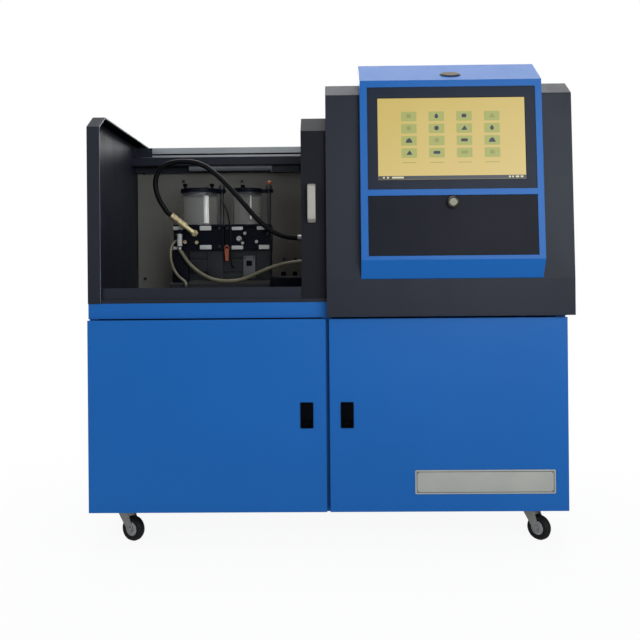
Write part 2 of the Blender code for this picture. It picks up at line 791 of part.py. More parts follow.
def rear_cover():
    """A flat plate with pressed louvres, each a hood that is open along its lower edge."""
    low_x = REAR_LIP - REAR_COVER_LAP
    high_x = CABINET_WIDTH - low_x
    low_z = CABINET_BOTTOM + REAR_LIP - REAR_COVER_LAP
    high_z = CABINET_TOP - REAR_LIP + REAR_COVER_LAP
    inner = CABINET_REAR + GAP
    outer = inner + SHEET
    plate = box((low_x, inner, low_z), (high_x, outer, high_z))
    middle_x = (low_x + high_x) / 2
    middle_z = (low_z + high_z) / 2
    for column in range(LOUVRE_COLUMNS):
        for row in range(LOUVRE_ROWS):
            left = middle_x + (column - (LOUVRE_COLUMNS - 1) / 2) * LOUVRE_PITCH_X - LOUVRE_WIDTH / 2
            base = middle_z + (row - (LOUVRE_ROWS - 1) / 2) * LOUVRE_PITCH_Z - LOUVRE_HEIGHT / 2
            hood = prism([(outer - SHEET / 2, base), (outer + LOUVRE_DEPTH, base),
                          (outer - SHEET / 2, base + LOUVRE_HEIGHT)], left, left + LOUVRE_WIDTH)
            slot_roof = base + LOUVRE_HEIGHT - SHEET - SHEET
            hollow = prism([(inner - OVERRUN, base - OVERRUN), (outer + LOUVRE_DEPTH - SHEET, base - OVERRUN),
                            (outer + LOUVRE_DEPTH - SHEET, base), (inner, slot_roof),
                            (inner - OVERRUN, base + LOUVRE_HEIGHT / 2)],
                           left + SHEET, left + LOUVRE_WIDTH - SHEET)
            keep = box((left, inner - OVERRUN - OVERRUN, base - OVERRUN - OVERRUN),
                       (left + LOUVRE_WIDTH, outer + LOUVRE_DEPTH, slot_roof))
            combine(hollow, keep, "INTERSECT")
            fuse(plate, hood)
            lower = box((left, inner - OVERRUN - OVERRUN, base - OVERRUN - OVERRUN),
                        (left + LOUVRE_WIDTH, outer, base))
            cut(hollow, lower)
            cut(plate, hollow)
    node("rear_cover", plate, blue_paint)


def door(name, low_x, high_x, axis_x):
    """A folded tray that opens to the rear, with two tabs that hang on the cabinet's hinge pins."""
    inward = 1 if axis_x < (low_x + high_x) / 2 else -1
    outline = fillet([(low_x, DOOR_DEPTH), (low_x, 0), (high_x, 0), (high_x, DOOR_DEPTH)], DOOR_CORNER,
                     closed=False)
    panel = prism(outline, DOOR_BOTTOM, DOOR_TOP, "Z")
    cut(panel, box((low_x + SHEET, SHEET, DOOR_BOTTOM + SHEET),
                   (high_x - SHEET, DOOR_DEPTH + OVERRUN, DOOR_TOP - SHEET)))
    outer_x = low_x if inward > 0 else high_x
    for height in HINGE_HEIGHTS:
        tab_low = height + HINGE_LUG + GAP
        inner_x = outer_x + inward * HINGE_TAB_WIDTH
        tab = box((min(outer_x, inner_x), SHEET / 2, tab_low),
                  (max(outer_x, inner_x), SHEET / 2 + HINGE_TAB_DEPTH + SHEET, tab_low + HINGE_TAB))
        trimmed = prism(fillet([(low_x, DOOR_DEPTH), (low_x, 0), (high_x, 0), (high_x, DOOR_DEPTH)],
                               DOOR_CORNER, closed=False), DOOR_BOTTOM, DOOR_TOP, "Z")
        fuse(panel, combine(tab, trimmed, "INTERSECT"))
        cut(panel, rod((axis_x, HINGE_BACK, tab_low - OVERRUN),
                       (axis_x, HINGE_BACK, tab_low + HINGE_TAB + OVERRUN), HINGE_PIN_RADIUS + PIVOT_GAP, 16))
        notch = box((outer_x - inward * OVERRUN, SHEET, height - HINGE_NOTCH),
                    (outer_x + inward * (SHEET + GAP), DOOR_DEPTH + OVERRUN, height + HINGE_LUG + GAP / 2))
        cut(panel, notch)
    latch_x = latch_left(name)
    rim = LATCH_RIM - LATCH_WALL
    cut(panel, box((latch_x + rim - GAP, -OVERRUN, LATCH_BOTTOM + rim - GAP),
                   (latch_x + LATCH_WIDTH - rim + GAP, SHEET + OVERRUN, LATCH_BOTTOM + LATCH_HEIGHT - rim + GAP)))
    return node(name, panel, blue_paint, pivot=(axis_x, HINGE_BACK, DOOR_BOTTOM))


def latch_left(door_name):
    """The x of a latch's left edge."""
    if door_name == "left_door":
        return DOOR_SPLIT - LATCH_FROM_SPLIT - LATCH_WIDTH + GAP
    return DOOR_SPLIT + LATCH_FROM_SPLIT - GAP - HINGE_NOTCH * 2


def latch(side, door_object):
    """A pan let into the door, and the paddle that hangs inside it on two short pins."""
    left = latch_left(door_object.name)
    right = left + LATCH_WIDTH
    low = LATCH_BOTTOM
    high = low + LATCH_HEIGHT
    face = -GAP - LATCH_FLANGE
    flange = prism(fillet(rectangle((left, low), (right, high)), LATCH_CORNER), face, -GAP, "Y")
    rim = LATCH_RIM - LATCH_WALL
    pan = box((left + rim, face + LATCH_FLANGE / 2, low + rim), (right - rim, LATCH_DEPTH, high - rim))
    fuse(flange, pan)
    cut(flange, box((left + LATCH_RIM, face - OVERRUN, low + LATCH_RIM),
                    (right - LATCH_RIM, LATCH_DEPTH - LATCH_WALL, high - LATCH_RIM)))
    pin_z = high - LATCH_RIM - PADDLE_PIN_DROP
    pin_y = face + PADDLE
    pin_reach = LATCH_WALL * 2 / 3
    cut(flange, rod((left + LATCH_RIM - pin_reach, pin_y, pin_z), (right - LATCH_RIM + pin_reach, pin_y, pin_z),
                    PADDLE_PIN_RADIUS + PIVOT_GAP, 16))
    slot_half = PADDLE_TAIL_WIDTH / 2 + LATCH_WALL
    middle = (left + right) / 2
    slot_low = pin_z - PADDLE_TAIL_WIDTH * 3 / 2
    cut(flange, box((middle - slot_half, LATCH_DEPTH - LATCH_WALL - OVERRUN / 2, slot_low),
                    (middle + slot_half, LATCH_DEPTH + OVERRUN, pin_z + PADDLE)))
    case = node(side + "_latch_case", flange, black_plastic, door_object, PIVOTS[door_object.name])
    inner_left = left + LATCH_RIM + GAP
    inner_right = right - LATCH_RIM - GAP
    top = pin_z + PADDLE - GAP
    front = face + GAP
    back = front + PADDLE
    lip_low = top - PADDLE_HEIGHT
    blade = prism(fillet([(front, lip_low), (back, lip_low + PADDLE_LIP), (back, top), (front, top)], PADDLE / 4),
                  inner_left, inner_right)
    pins = rod((inner_left - pin_reach + GAP, pin_y, pin_z), (inner_right + pin_reach - GAP, pin_y, pin_z),
               PADDLE_PIN_RADIUS, 12)
    tail_low = pin_z - PADDLE
    tail = box((middle - PADDLE_TAIL_WIDTH / 2, back - PADDLE / 2, tail_low),
               (middle + PADDLE_TAIL_WIDTH / 2, LATCH_DEPTH + PADDLE_TAIL / 4, tail_low + PADDLE))
    fuse(blade, pins, tail)
    node(side + "_latch_paddle", blade, black_plastic, case, (middle, pin_y, pin_z))


def doors():
    left = door("left_door", 0, DOOR_SPLIT - DOOR_GAP / 2, HINGE_INSET)
    right = door("right_door", DOOR_SPLIT + DOOR_GAP / 2, CABINET_WIDTH, CABINET_WIDTH - HINGE_INSET)
    latch("left", left)
    latch("right", right)


# Test bay

def worktop_tray():
    low = CABINET_TOP + GAP
    tray = box((TRAY_LEFT, TRAY_FRONT, low), (TRAY_RIGHT, TRAY_REAR, TRAY_RIM))
    inner = ((TRAY_LEFT + SHEET, TRAY_FRONT + SHEET), (TRAY_RIGHT - SHEET, TRAY_REAR - SHEET))
    cut(tray, box((*inner[0], TRAY_FLOOR), (*inner[1], TRAY_RIM + OVERRUN)))
    cut(tray, box((*inner[0], low - OVERRUN), (*inner[1], TRAY_FLOOR - SHEET)))
    cut(tray, box((TRAY_LEFT - OVERRUN, TRAY_FRONT - OVERRUN, SILL_TOP),
                  (TRAY_RIGHT + OVERRUN, TRAY_FRONT + SHEET, TRAY_RIM + OVERRUN)))
    top = TRAY_FLOOR + DRAIN_HEIGHT
    fuse(tray, rod((DRAIN_X, DRAIN_Y, TRAY_FLOOR - SHEET / 2), (DRAIN_X, DRAIN_Y, top), DRAIN_RADIUS))
    node("worktop_tray", tray, grey_paint)


def left_guard():
    base = CABINET_TOP + GAP
    path = [(GUARD_FRONT, base), (GUARD_FRONT, GUARD_FACE_TOP), (GUARD_TOP_FRONT, GUARD_TOP),
            (GUARD_FLANGE_REAR, GUARD_TOP)]
    flange = prism(folded_outline(path[::-1], SHEET), 0, GUARD_FLANGE)
    middle = sheet_middle(path[::-1], SHEET)
    side_top = GUARD_TOP - SHEET / 2
    side = prism([*middle[1:], (GUARD_REAR, base), (GUARD_REAR, side_top)], 0, SHEET)
    node("left_guard", fuse(flange, side), grey_paint)


def bay_back_panel():
    """A sheet box behind the bay that hides the plumbing: its front stands in the tray, its rear on the cabinet."""
    path = [(BACK_FRONT, TRAY_FLOOR + GAP), (BACK_FRONT, BACK_TOP), (BACK_REAR, BACK_TOP),
            (BACK_REAR, CABINET_TOP + GAP)]
    sheet = prism(folded_outline(path[::-1], SHEET), TRAY_LEFT + SHEET + GAP, TRAY_RIGHT - SHEET - GAP)
    node("bay_back_panel", sheet, panel_paint)


def rear_beam():
    """A tube on the back panel's top, with a leg that hangs in front of the panel."""
    low = (BEAM_FRONT, BEAM_BOTTOM)
    high = (BEAM_FRONT + BEAM_DEPTH, BEAM_TOP)
    left = SHEET + GAP
    right = HOOD_LEFT + HOOD_WIDTH - SHEET - GAP
    beam = prism(fillet(rectangle(low, high), BEND_RADIUS), left, right)
    fuse(beam, box((left, BEAM_LEG_FRONT, BEAM_BOTTOM - BEAM_LEG_DROP),
                   (right, BACK_FRONT - GAP, BEAM_BOTTOM + SHEET / 2)))
    bore = prism(rectangle((low[0] + SHEET, low[1] + SHEET), (high[0] - SHEET, high[1] - SHEET)),
                 left - OVERRUN, right + OVERRUN)
    node("rear_beam", cut(beam, bore), grey_paint)


def cover_rail():
    """An aluminium rail along the beam, with a groove along its front that the cover's runner follows."""
    low = RAIL_TOP - RAIL_HEIGHT
    rear = RAIL_FRONT + RAIL_DEPTH
    groove_top = RAIL_TOP - RAIL_FACE
    groove_low = groove_top - RAIL_GROOVE
    groove_back = RAIL_FRONT + RAIL_GROOVE_DEPTH
    outline = [(RAIL_FRONT, low), (rear, low), (rear, RAIL_TOP), (RAIL_FRONT, RAIL_TOP), (RAIL_FRONT, groove_top),
               (groove_back, groove_top), (groove_back, groove_low), (RAIL_FRONT, groove_low)]
    rail = prism(outline, RAIL_LEFT, COVER_EDGE + COVER_LENGTH)
    node("cover_rail", rail, bright_steel)


def front_track():
    """The channel on the apron that the cover's lower edge runs in."""
    low = CABINET_TOP + GAP
    rear = TRACK_FRONT + TRACK_DEPTH
    top = low + TRACK_HEIGHT
    floor = low + TRACK_WALL
    outline = [(TRACK_FRONT, low), (rear, low), (rear, top), (rear - TRACK_WALL, top), (rear - TRACK_WALL, floor),
               (TRACK_FRONT + TRACK_WALL, floor), (TRACK_FRONT + TRACK_WALL, top), (TRACK_FRONT, top)]
    node("front_track", prism(outline, SHEET + GAP, TRACK_END), grey_paint)


def lamp_bar():
    top = BEAM_BOTTOM - GAP
    rear = LAMP_FRONT + LAMP_DEPTH
    low = top - LAMP_HEIGHT
    outline = [(LAMP_FRONT, top), (LAMP_FRONT, top - LAMP_HEIGHT / 2), (LAMP_FRONT + LAMP_HEIGHT / 3, low),
               (rear, low), (rear, top)]
    lamp = prism(outline, LAMP_LEFT, LAMP_LEFT + LAMP_WIDTH)
    driver_left = LAMP_LEFT + LAMP_WIDTH - SHEET
    driver = prism(fillet(rectangle((LAMP_FRONT, top - DRIVER_HEIGHT), (LAMP_FRONT + DRIVER_DEPTH, top)), SHEET),
                   driver_left, driver_left + DRIVER_WIDTH)
    node("lamp_bar", fuse(lamp, driver), lamp_white)


def port_panel():
    """A standing plate behind the cover's edge, bent to the hood's rear, with the ends that the hoses push on to."""
    left = PORT_PANEL_LEFT
    rear = HOOD_REAR - SHEET - GAP
    path = [(left, PORT_PANEL_FRONT), (left, rear), (left + PORT_PANEL_RETURN, rear)]
    middle = offset_path(path, -SHEET / 2)
    outline = offset_path(middle, SHEET / 2) + offset_path(middle, -SHEET / 2)[::-1]
    plate = prism(outline, CABINET_TOP + GAP, PORT_PANEL_TOP, "Z")
    for y, z, radius, length in ((PORT_Y, PORT_Z, PORT_RADIUS, PORT_LENGTH),
                                 (SMALL_PORT_Y, SMALL_PORT_Z, SMALL_PORT_RADIUS, SMALL_PORT_LENGTH)):
        nut = radius * PORT_NUT_RADIUS / PORT_RADIUS
        end = left - length
        profile = [(0, 0), (radius, 0), (radius, length - PORT_NUT), (nut, length - PORT_NUT),
                   (nut, length + SHEET + PORT_NUT / 2), (0, length + SHEET + PORT_NUT / 2)]
        fuse(plate, turned(profile, (end, y, z), (1, 0, 0), ROUND_STEPS // 2))
    node("port_panel", plate, bright_steel)


def fixture_base():
    """A slotted cast bed: a foot, and an upright with two slots along its face."""
    low = TRAY_FLOOR + GAP
    foot_top = low + BASE_FOOT
    front = BASE_FRONT + BASE_UPRIGHT_IN
    rear = front + BASE_UPRIGHT
    outline = [(BASE_FRONT, low), (BASE_FRONT + BASE_DEPTH, low), (BASE_FRONT + BASE_DEPTH, foot_top),
               (rear, foot_top + BASE_FOOT / 2), (rear, BASE_TOP), (front, BASE_TOP)]
    for slot in (1, 0):
        middle = foot_top + BASE_SLOT_LOW + slot * BASE_SLOT_PITCH
        outline += [(front, middle + BASE_SLOT / 2), (front + BASE_SLOT_DEPTH, middle + BASE_SLOT),
                    (front + BASE_SLOT_DEPTH, middle - BASE_SLOT), (front, middle - BASE_SLOT / 2)]
    outline += [(front, foot_top + BASE_FOOT / 2), (BASE_FRONT, foot_top)]
    node("fixture_base", prism(outline, BASE_LEFT, BASE_LEFT + BASE_WIDTH), cast_grey)


def manifold_block(left, width):
    low = BASE_TOP + GAP
    front = MANIFOLD_FRONT
    rear = front + MANIFOLD_DEPTH
    outline = [(rear, low), (rear, MANIFOLD_TOP), (front, MANIFOLD_TOP), (front, MANIFOLD_TOP - MANIFOLD_FLANGE),
               (front + MANIFOLD_RECESS, MANIFOLD_TOP - MANIFOLD_FLANGE - MANIFOLD_RECESS / 2),
               (front + MANIFOLD_RECESS, low + MANIFOLD_FLANGE + MANIFOLD_RECESS / 2),
               (front, low + MANIFOLD_FLANGE), (front, low)]
    return prism(outline, left, left + width)


def manifolds():
    left = manifold_block(LEFT_MANIFOLD_X, LEFT_MANIFOLD_WIDTH)
    seat = MANIFOLD_FRONT + MANIFOLD_RECESS + SHEET
    fuse(left, rod((DRAIN_BARB_X, DRAIN_BARB_Y, DRAIN_BARB_BOTTOM), (DRAIN_BARB_X, DRAIN_BARB_Y, DRAIN_BARB_TOP),
                   DRAIN_BARB_RADIUS, ROUND_STEPS // 2))
    neck_z = (DRAIN_BARB_TOP + MANIFOLD_TOP - MANIFOLD_FLANGE) / 2 - DRAIN_BARB_RADIUS
    fuse(left, rod((DRAIN_BARB_X, DRAIN_BARB_Y, neck_z), (DRAIN_BARB_X, seat, neck_z), DRAIN_BARB_RADIUS * 2 / 3,
                   ROUND_STEPS // 2))
    fuse(left, rod((RETURN_BARB_END, RETURN_BARB_Y, RETURN_BARB_Z),
                   (RETURN_BARB_START, RETURN_BARB_Y, RETURN_BARB_Z), RETURN_BARB_RADIUS, ROUND_STEPS // 2))
    elbow_x = RETURN_BARB_START - RETURN_BARB_RADIUS
    fuse(left, rod((elbow_x, RETURN_BARB_Y, RETURN_BARB_Z), (elbow_x, seat, RETURN_BARB_Z),
                   RETURN_BARB_RADIUS * 3 / 4, ROUND_STEPS // 2))
    node("left_manifold", left, black_metal)
    right = manifold_block(RIGHT_MANIFOLD_X, RIGHT_MANIFOLD_WIDTH)
    fuse(right, rod((LEVER_X, MANIFOLD_FRONT - LEVER_STEM, LEVER_Z), (LEVER_X, seat, LEVER_Z), LEVER_STEM_RADIUS,
                    ROUND_STEPS // 2))
    node("right_manifold", right, black_metal)


def measuring_glass(side, centre_x, radius, post_x, nozzle):
    """An open glass tube, its clamped cap and the post that holds the cap down."""
    low = MANIFOLD_TOP + GAP
    bore = radius - GLASS_WALL
    wall = [(radius, low), (radius, GLASS_TOP), (bore, GLASS_TOP), (bore, low)]
    glass = turned(wall, (centre_x, GLASS_Y, 0), (0, 0, 1), ROUND_STEPS * 3 // 2, closed=True)
    node(side + "_glass", glass, clear_glass)
    seat = GLASS_TOP + GAP
    cap_radius = radius + CAP_OVERHANG
    spigot = bore - GAP
    profile = [(0, GLASS_TOP - CAP_SPIGOT), (spigot, GLASS_TOP - CAP_SPIGOT), (spigot, seat), (cap_radius, seat),
               (cap_radius, seat + CAP_THICK), (0, seat + CAP_THICK)]
    cap = turned(profile, (centre_x, GLASS_Y, 0), (0, 0, 1), ROUND_STEPS * 3 // 2)
    fuse(cap, rod((post_x, GLASS_Y, seat + SHEET / 2), (post_x, GLASS_Y, seat + CAP_THICK - SHEET / 2),
                  CAP_LUG_RADIUS))
    bridge = CAP_LUG_RADIUS * 2 / 3
    fuse(cap, box((centre_x, GLASS_Y - bridge, seat + SHEET), (post_x, GLASS_Y + bridge, seat + CAP_THICK - SHEET)))
    cut(cap, rod((post_x, GLASS_Y, low), (post_x, GLASS_Y, seat + CAP_THICK + OVERRUN), POST_RADIUS + PIVOT_GAP))
    if nozzle:
        tube_x = centre_x + NOZZLE_FROM_AXIS
        fuse(cap, rod((tube_x, GLASS_Y, low + NOZZLE_CLEAR), (tube_x, GLASS_Y, seat + CAP_THICK + CAP_SPIGOT),
                      NOZZLE_RADIUS, ROUND_STEPS // 2))
    node(side + "_cap", cap, black_metal)
    nut = seat + CAP_THICK + GAP
    rings = [(0, low), (POST_RADIUS, low), (POST_RADIUS, nut), (POST_NUT_RADIUS, nut),
             (POST_NUT_RADIUS, nut + POST_NUT), (POST_RADIUS, nut + POST_NUT), (POST_RADIUS, POST_TOP), (0, POST_TOP)]
    node(side + "_post", turned(rings, (post_x, GLASS_Y, 0), (0, 0, 1), ROUND_STEPS // 2), black_metal)


def ferrule_frame():
    """The start and the direction of the crimped ferrule on the pressure hose."""
    direction = Vector(FERRULE_DIRECTION).normalized()
    elbow = Vector((FITTING_X, MANIFOLD_FRONT - FITTING_HEX - FITTING_NECK_RADIUS, FITTING_Z))
    return elbow, direction


def hose_fitting():
    elbow, direction = ferrule_frame()
    seat = MANIFOLD_FRONT + MANIFOLD_RECESS - GAP
    fitting = turned([(0, 0), (FITTING_HEX_RADIUS, 0), (FITTING_HEX_RADIUS, FITTING_HEX), (0, FITTING_HEX)],
                     (FITTING_X, seat - FITTING_HEX, FITTING_Z), (0, 1, 0), 6)
    middle = Matrix.Translation((FITTING_X, 0, FITTING_Z))
    move(fitting, middle @ Matrix.Rotation(math.radians(FITTING_HEX_TURN), 4, "Y") @ middle.inverted())
    fuse(fitting, rod(elbow, (FITTING_X, seat - FITTING_HEX / 2, FITTING_Z), FITTING_NECK_RADIUS, ROUND_STEPS // 2))
    fuse(fitting, rod(elbow, elbow + direction * (FITTING_REACH + FITTING_HEX / 2), FITTING_NECK_RADIUS,
                      ROUND_STEPS // 2))
    profile = [(0, 0), (FERRULE_RADIUS - FERRULE_GROOVE, 0)]
    roll = FERRULE_LENGTH / (2 * FERRULE_ROLL_COUNT + 1)
    for index in range(FERRULE_ROLL_COUNT):
        start = roll * (2 * index + 1)
        profile += [(FERRULE_RADIUS, start - roll / 2), (FERRULE_RADIUS, start + roll / 2),
                    (FERRULE_RADIUS - FERRULE_GROOVE, start + roll)]
    profile += [(FERRULE_RADIUS, FERRULE_LENGTH - roll / 2), (FERRULE_RADIUS, FERRULE_LENGTH), (0, FERRULE_LENGTH)]
    fuse(fitting, turned(profile, elbow + direction * FITTING_REACH, direction, ROUND_STEPS * 2 // 3))
    node("hose_fitting", fitting, brass)


def valve_lever():
    rear = MANIFOLD_FRONT - GAP
    front = rear - LEVER_THICK
    half = LEVER_WIDTH / 2
    tip = LEVER_TIP_WIDTH / 2
    low = LEVER_Z - LEVER_LENGTH
    arm = prism(fillet([(LEVER_X - tip, low), (LEVER_X + tip, low), (LEVER_X + half, LEVER_Z),
                        (LEVER_X - half, LEVER_Z)], tip / 2), front, rear, "Y")
    hub = rod((LEVER_X, front, LEVER_Z), (LEVER_X, rear, LEVER_Z), LEVER_HUB_RADIUS)
    fuse(arm, hub)
    cut(arm, rod((LEVER_X, front - OVERRUN, LEVER_Z), (LEVER_X, rear + OVERRUN, LEVER_Z),
                 LEVER_STEM_RADIUS + PIVOT_GAP, ROUND_STEPS // 2))
    node("valve_lever", arm, red_grip, pivot=(LEVER_X, front, LEVER_Z))


def valve_block():
    low = TRAY_FLOOR + GAP
    high = low + VALVE_BLOCK_HEIGHT
    rear = VALVE_BLOCK_FRONT + VALVE_BLOCK_DEPTH
    outline = [(VALVE_BLOCK_FRONT, low), (rear, low), (rear, high), (VALVE_BLOCK_FRONT + VALVE_BLOCK_CHAMFER, high),
               (VALVE_BLOCK_FRONT, high - VALVE_BLOCK_CHAMFER)]
    block = prism(outline, VALVE_BLOCK_X, VALVE_BLOCK_X + VALVE_BLOCK_WIDTH)
    middle = VALVE_BLOCK_FRONT + VALVE_BLOCK_DEPTH / 2
    for index, side in enumerate(("left", "right")):
        x = VALVE_BLOCK_X + FLOW_KNOB_FROM_LEFT + index * FLOW_KNOB_PITCH
        fuse(block, rod((x, middle, high - SHEET), (x, middle, high + FLOW_STEM), FLOW_STEM_RADIUS, ROUND_STEPS // 2))
        foot = high + GAP
        top = foot + FLOW_KNOB_HEIGHT
        bore = FLOW_STEM_RADIUS + PIVOT_GAP
        knob = turned([(0, foot), (FLOW_KNOB_RADIUS, foot), (FLOW_KNOB_RADIUS, top - SHEET),
                       (FLOW_KNOB_RADIUS - SHEET, top), (0, top)], (x, middle, 0), (0, 0, 1), ROUND_STEPS // 2)
        cut(knob, rod((x, middle, foot - OVERRUN), (x, middle, high + FLOW_STEM + GAP), bore, ROUND_STEPS // 2))
        node(side + "_flow_knob", knob, black_plastic, pivot=(x, middle, foot))
    node("valve_block", block, black_metal)


# Hoses and cable

def over_tray(route):
    return [(x, y, TRAY_FLOOR + height) for x, y, height in route]


def smooth_route(points, spacing):
    """Points about one spacing apart on a smooth curve through the route."""
    ends = [Vector(points[0]) * 2 - Vector(points[1])]
    ends += [Vector(point) for point in points]
    ends.append(Vector(points[-1]) * 2 - Vector(points[-2]))
    route = [ends[1]]
    for index in range(1, len(ends) - 2):
        before, start, end, after = ends[index - 1:index + 3]
        steps = max(1, round((end - start).length / spacing))
        for step in range(1, steps + 1):
            t = step / steps
            route.append(0.5 * (2 * start + (end - before) * t + (2 * before - 5 * start + 4 * end - after) * t ** 2
                                + (3 * start - before - 3 * end + after) * t ** 3))
    return route


def hose(name, points, radius, material, ring):
    curve = bpy.data.curves.new(name, "CURVE")
    curve.dimensions = "3D"
    curve.bevel_depth = radius
    curve.bevel_resolution = ring
    curve.use_fill_caps = True
    route = smooth_route(points, radius * 5)
    spline = curve.splines.new("POLY")
    spline.points.add(len(route) - 1)
    for point, place in zip(spline.points, route):
        point.co = (*place, 1.0)
    curve.materials.append(material)
    obj = bpy.data.objects.new(name, curve)
    bpy.context.scene.collection.objects.link(obj)
    obj.parent = tester
    length = sum((after - before).length for before, after in zip(route, route[1:]))
    print(f"{name}: {length:.3f} m long")


def hoses():
    elbow, direction = ferrule_frame()
    start = elbow + direction * (FITTING_REACH + FERRULE_LENGTH + GAP)
    straight = start + direction * PRESSURE_HOSE_RADIUS * 2
    port = Vector((PORT_PANEL_LEFT - PORT_LENGTH - GAP, PORT_Y, PORT_Z))
    before_port = port - Vector((PRESSURE_HOSE_RADIUS * 2, 0, 0))
    hose("pressure_hose", [start, straight, *over_tray(PRESSURE_ROUTE), before_port, port], PRESSURE_HOSE_RADIUS,
         rubber, HOSE_RING_STEPS)
    top = Vector((DRAIN_BARB_X, DRAIN_BARB_Y, DRAIN_BARB_BOTTOM - GAP))
    small_port = Vector((PORT_PANEL_LEFT - SMALL_PORT_LENGTH - GAP, SMALL_PORT_Y, SMALL_PORT_Z))
    before_port = small_port - Vector((DRAIN_HOSE_RADIUS * 2, 0, 0))
    below_top = top - Vector((0, 0, DRAIN_HOSE_RADIUS * 2))
    hose("drain_hose", [top, below_top, *over_tray(DRAIN_ROUTE), before_port, small_port], DRAIN_HOSE_RADIUS,
         clear_hose, HOSE_RING_STEPS)
    barb = Vector((RETURN_BARB_END - GAP, RETURN_BARB_Y, RETURN_BARB_Z))
    floor = Vector((DRAIN_X, DRAIN_Y, TRAY_FLOOR + DRAIN_HEIGHT + GAP))
    along_barb = Vector((RETURN_HOSE_RADIUS * 2, 0, 0))
    up_from_floor = Vector((0, 0, RETURN_HOSE_RADIUS * 2))
    hose("return_hose", [barb, barb - along_barb, *over_tray(RETURN_ROUTE), floor + up_from_floor, floor],
         RETURN_HOSE_RADIUS, clear_hose, HOSE_RING_STEPS)
    post_face = Vector((LEFT_POST_X, GLASS_Y - POST_RADIUS - GAP, TRAY_FLOOR + CABLE_START_RISE))
    base_face = Vector((CABLE_END_X, BASE_FRONT + BASE_UPRIGHT_IN - GAP, TRAY_FLOOR + CABLE_END_RISE))
    straight = Vector((0, CABLE_RADIUS * 2, 0))
    hose("sensor_cable", [post_face, post_face - straight, *over_tray(CABLE_ROUTE), base_face - straight, base_face],
         CABLE_RADIUS, rubber, CABLE_RING_STEPS)


# Sliding cover

COVER_PATH = [(COVER_REAR, COVER_TOP - COVER_REAR_LIP), (COVER_REAR, COVER_TOP), (COVER_TOP_FRONT, COVER_TOP),
              (COVER_FRONT, COVER_FACE_TOP), (COVER_FRONT, CABINET_TOP + GAP * 2 + TRACK_WALL)]


def sliding_cover():
    left = COVER_EDGE
    sheet = prism(folded_outline(COVER_PATH, COVER_SHEET), left, left + COVER_LENGTH)
    front_path = [(COVER_STIFFENER_REAR, COVER_TOP), (COVER_TOP_FRONT, COVER_TOP), (COVER_FRONT, COVER_FACE_TOP),
                  (COVER_FRONT, COVER_STIFFENER_BOTTOM)]
    outer = offset_path(front_path, COVER_SHEET / 2)
    inner = offset_path(front_path, COVER_STIFFENER)
    edge = prism(outer + inner[::-1], left, left + COVER_SHEET)
    cover = node("sliding_cover", fuse(sheet, edge), grey_paint, pivot=(left, COVER_FRONT, CABINET_TOP))
    handle_left = left + HANDLE_INSET
    middle = handle_left + HANDLE_WIDTH / 2
    seat = COVER_FRONT - GAP
    low = HANDLE_BOTTOM
    high = low + HANDLE_LENGTH
    grip_back = seat - HANDLE_HEIGHT + HANDLE_GRIP
    outline = fillet([(seat, low), (seat, low + HANDLE_FOOT), (grip_back, low + HANDLE_FOOT + HANDLE_GRIP / 2),
                      (grip_back, high - HANDLE_FOOT - HANDLE_GRIP / 2), (seat, high - HANDLE_FOOT), (seat, high),
                      (seat - HANDLE_HEIGHT, high - HANDLE_FOOT / 2), (seat - HANDLE_HEIGHT, low + HANDLE_FOOT / 2)],
                     HANDLE_GRIP / 2)
    grip = prism(outline, handle_left, handle_left + HANDLE_WIDTH)
    bevel = grip.modifiers.new("edge", "BEVEL")
    bevel.width = HANDLE_GRIP / 3
    bevel.segments = 2
    bevel.limit_method = "ANGLE"
    bevel.angle_limit = math.radians(60)
    node("cover_handle", grip, ivory_plastic, cover, (middle, seat, (low + high) / 2))


# Hood and console

HOOD_PATH = [(HOOD_FRONT, HOOD_BOTTOM), (HOOD_FRONT, HOOD_FOLD), (HOOD_FACE_TOP_Y, HOOD_FACE_TOP),
             (HOOD_TOP_FRONT, HOOD_TOP), (HOOD_REAR, HOOD_TOP)]
CONSOLE_LINE = Vector((CONSOLE_BROW - CONSOLE_FRONT, CONSOLE_BROW_Z - CONSOLE_FRONT_Z))
CONSOLE_UP = CONSOLE_LINE.normalized()
CONSOLE_OUT = Vector((-CONSOLE_UP.y, CONSOLE_UP.x))
CONSOLE_RIGHT = CONSOLE_LEFT + CONSOLE_WIDTH


def on_console(up, out):
    """(y, z) of a point on the console's sloping face: its distance up the face, and out from it."""
    point = Vector((CONSOLE_FRONT, CONSOLE_FRONT_Z)) + CONSOLE_UP * up + CONSOLE_OUT * out
    return (point.x, point.y)


def console_plate(low_x, high_x, low_up, high_up, back, front):
    """A flat block on the console's face, between two depths that count outwards."""
    outline = [on_console(low_up, back), on_console(high_up, back), on_console(high_up, front),
               on_console(low_up, front)]
    return prism(outline, low_x, high_x)


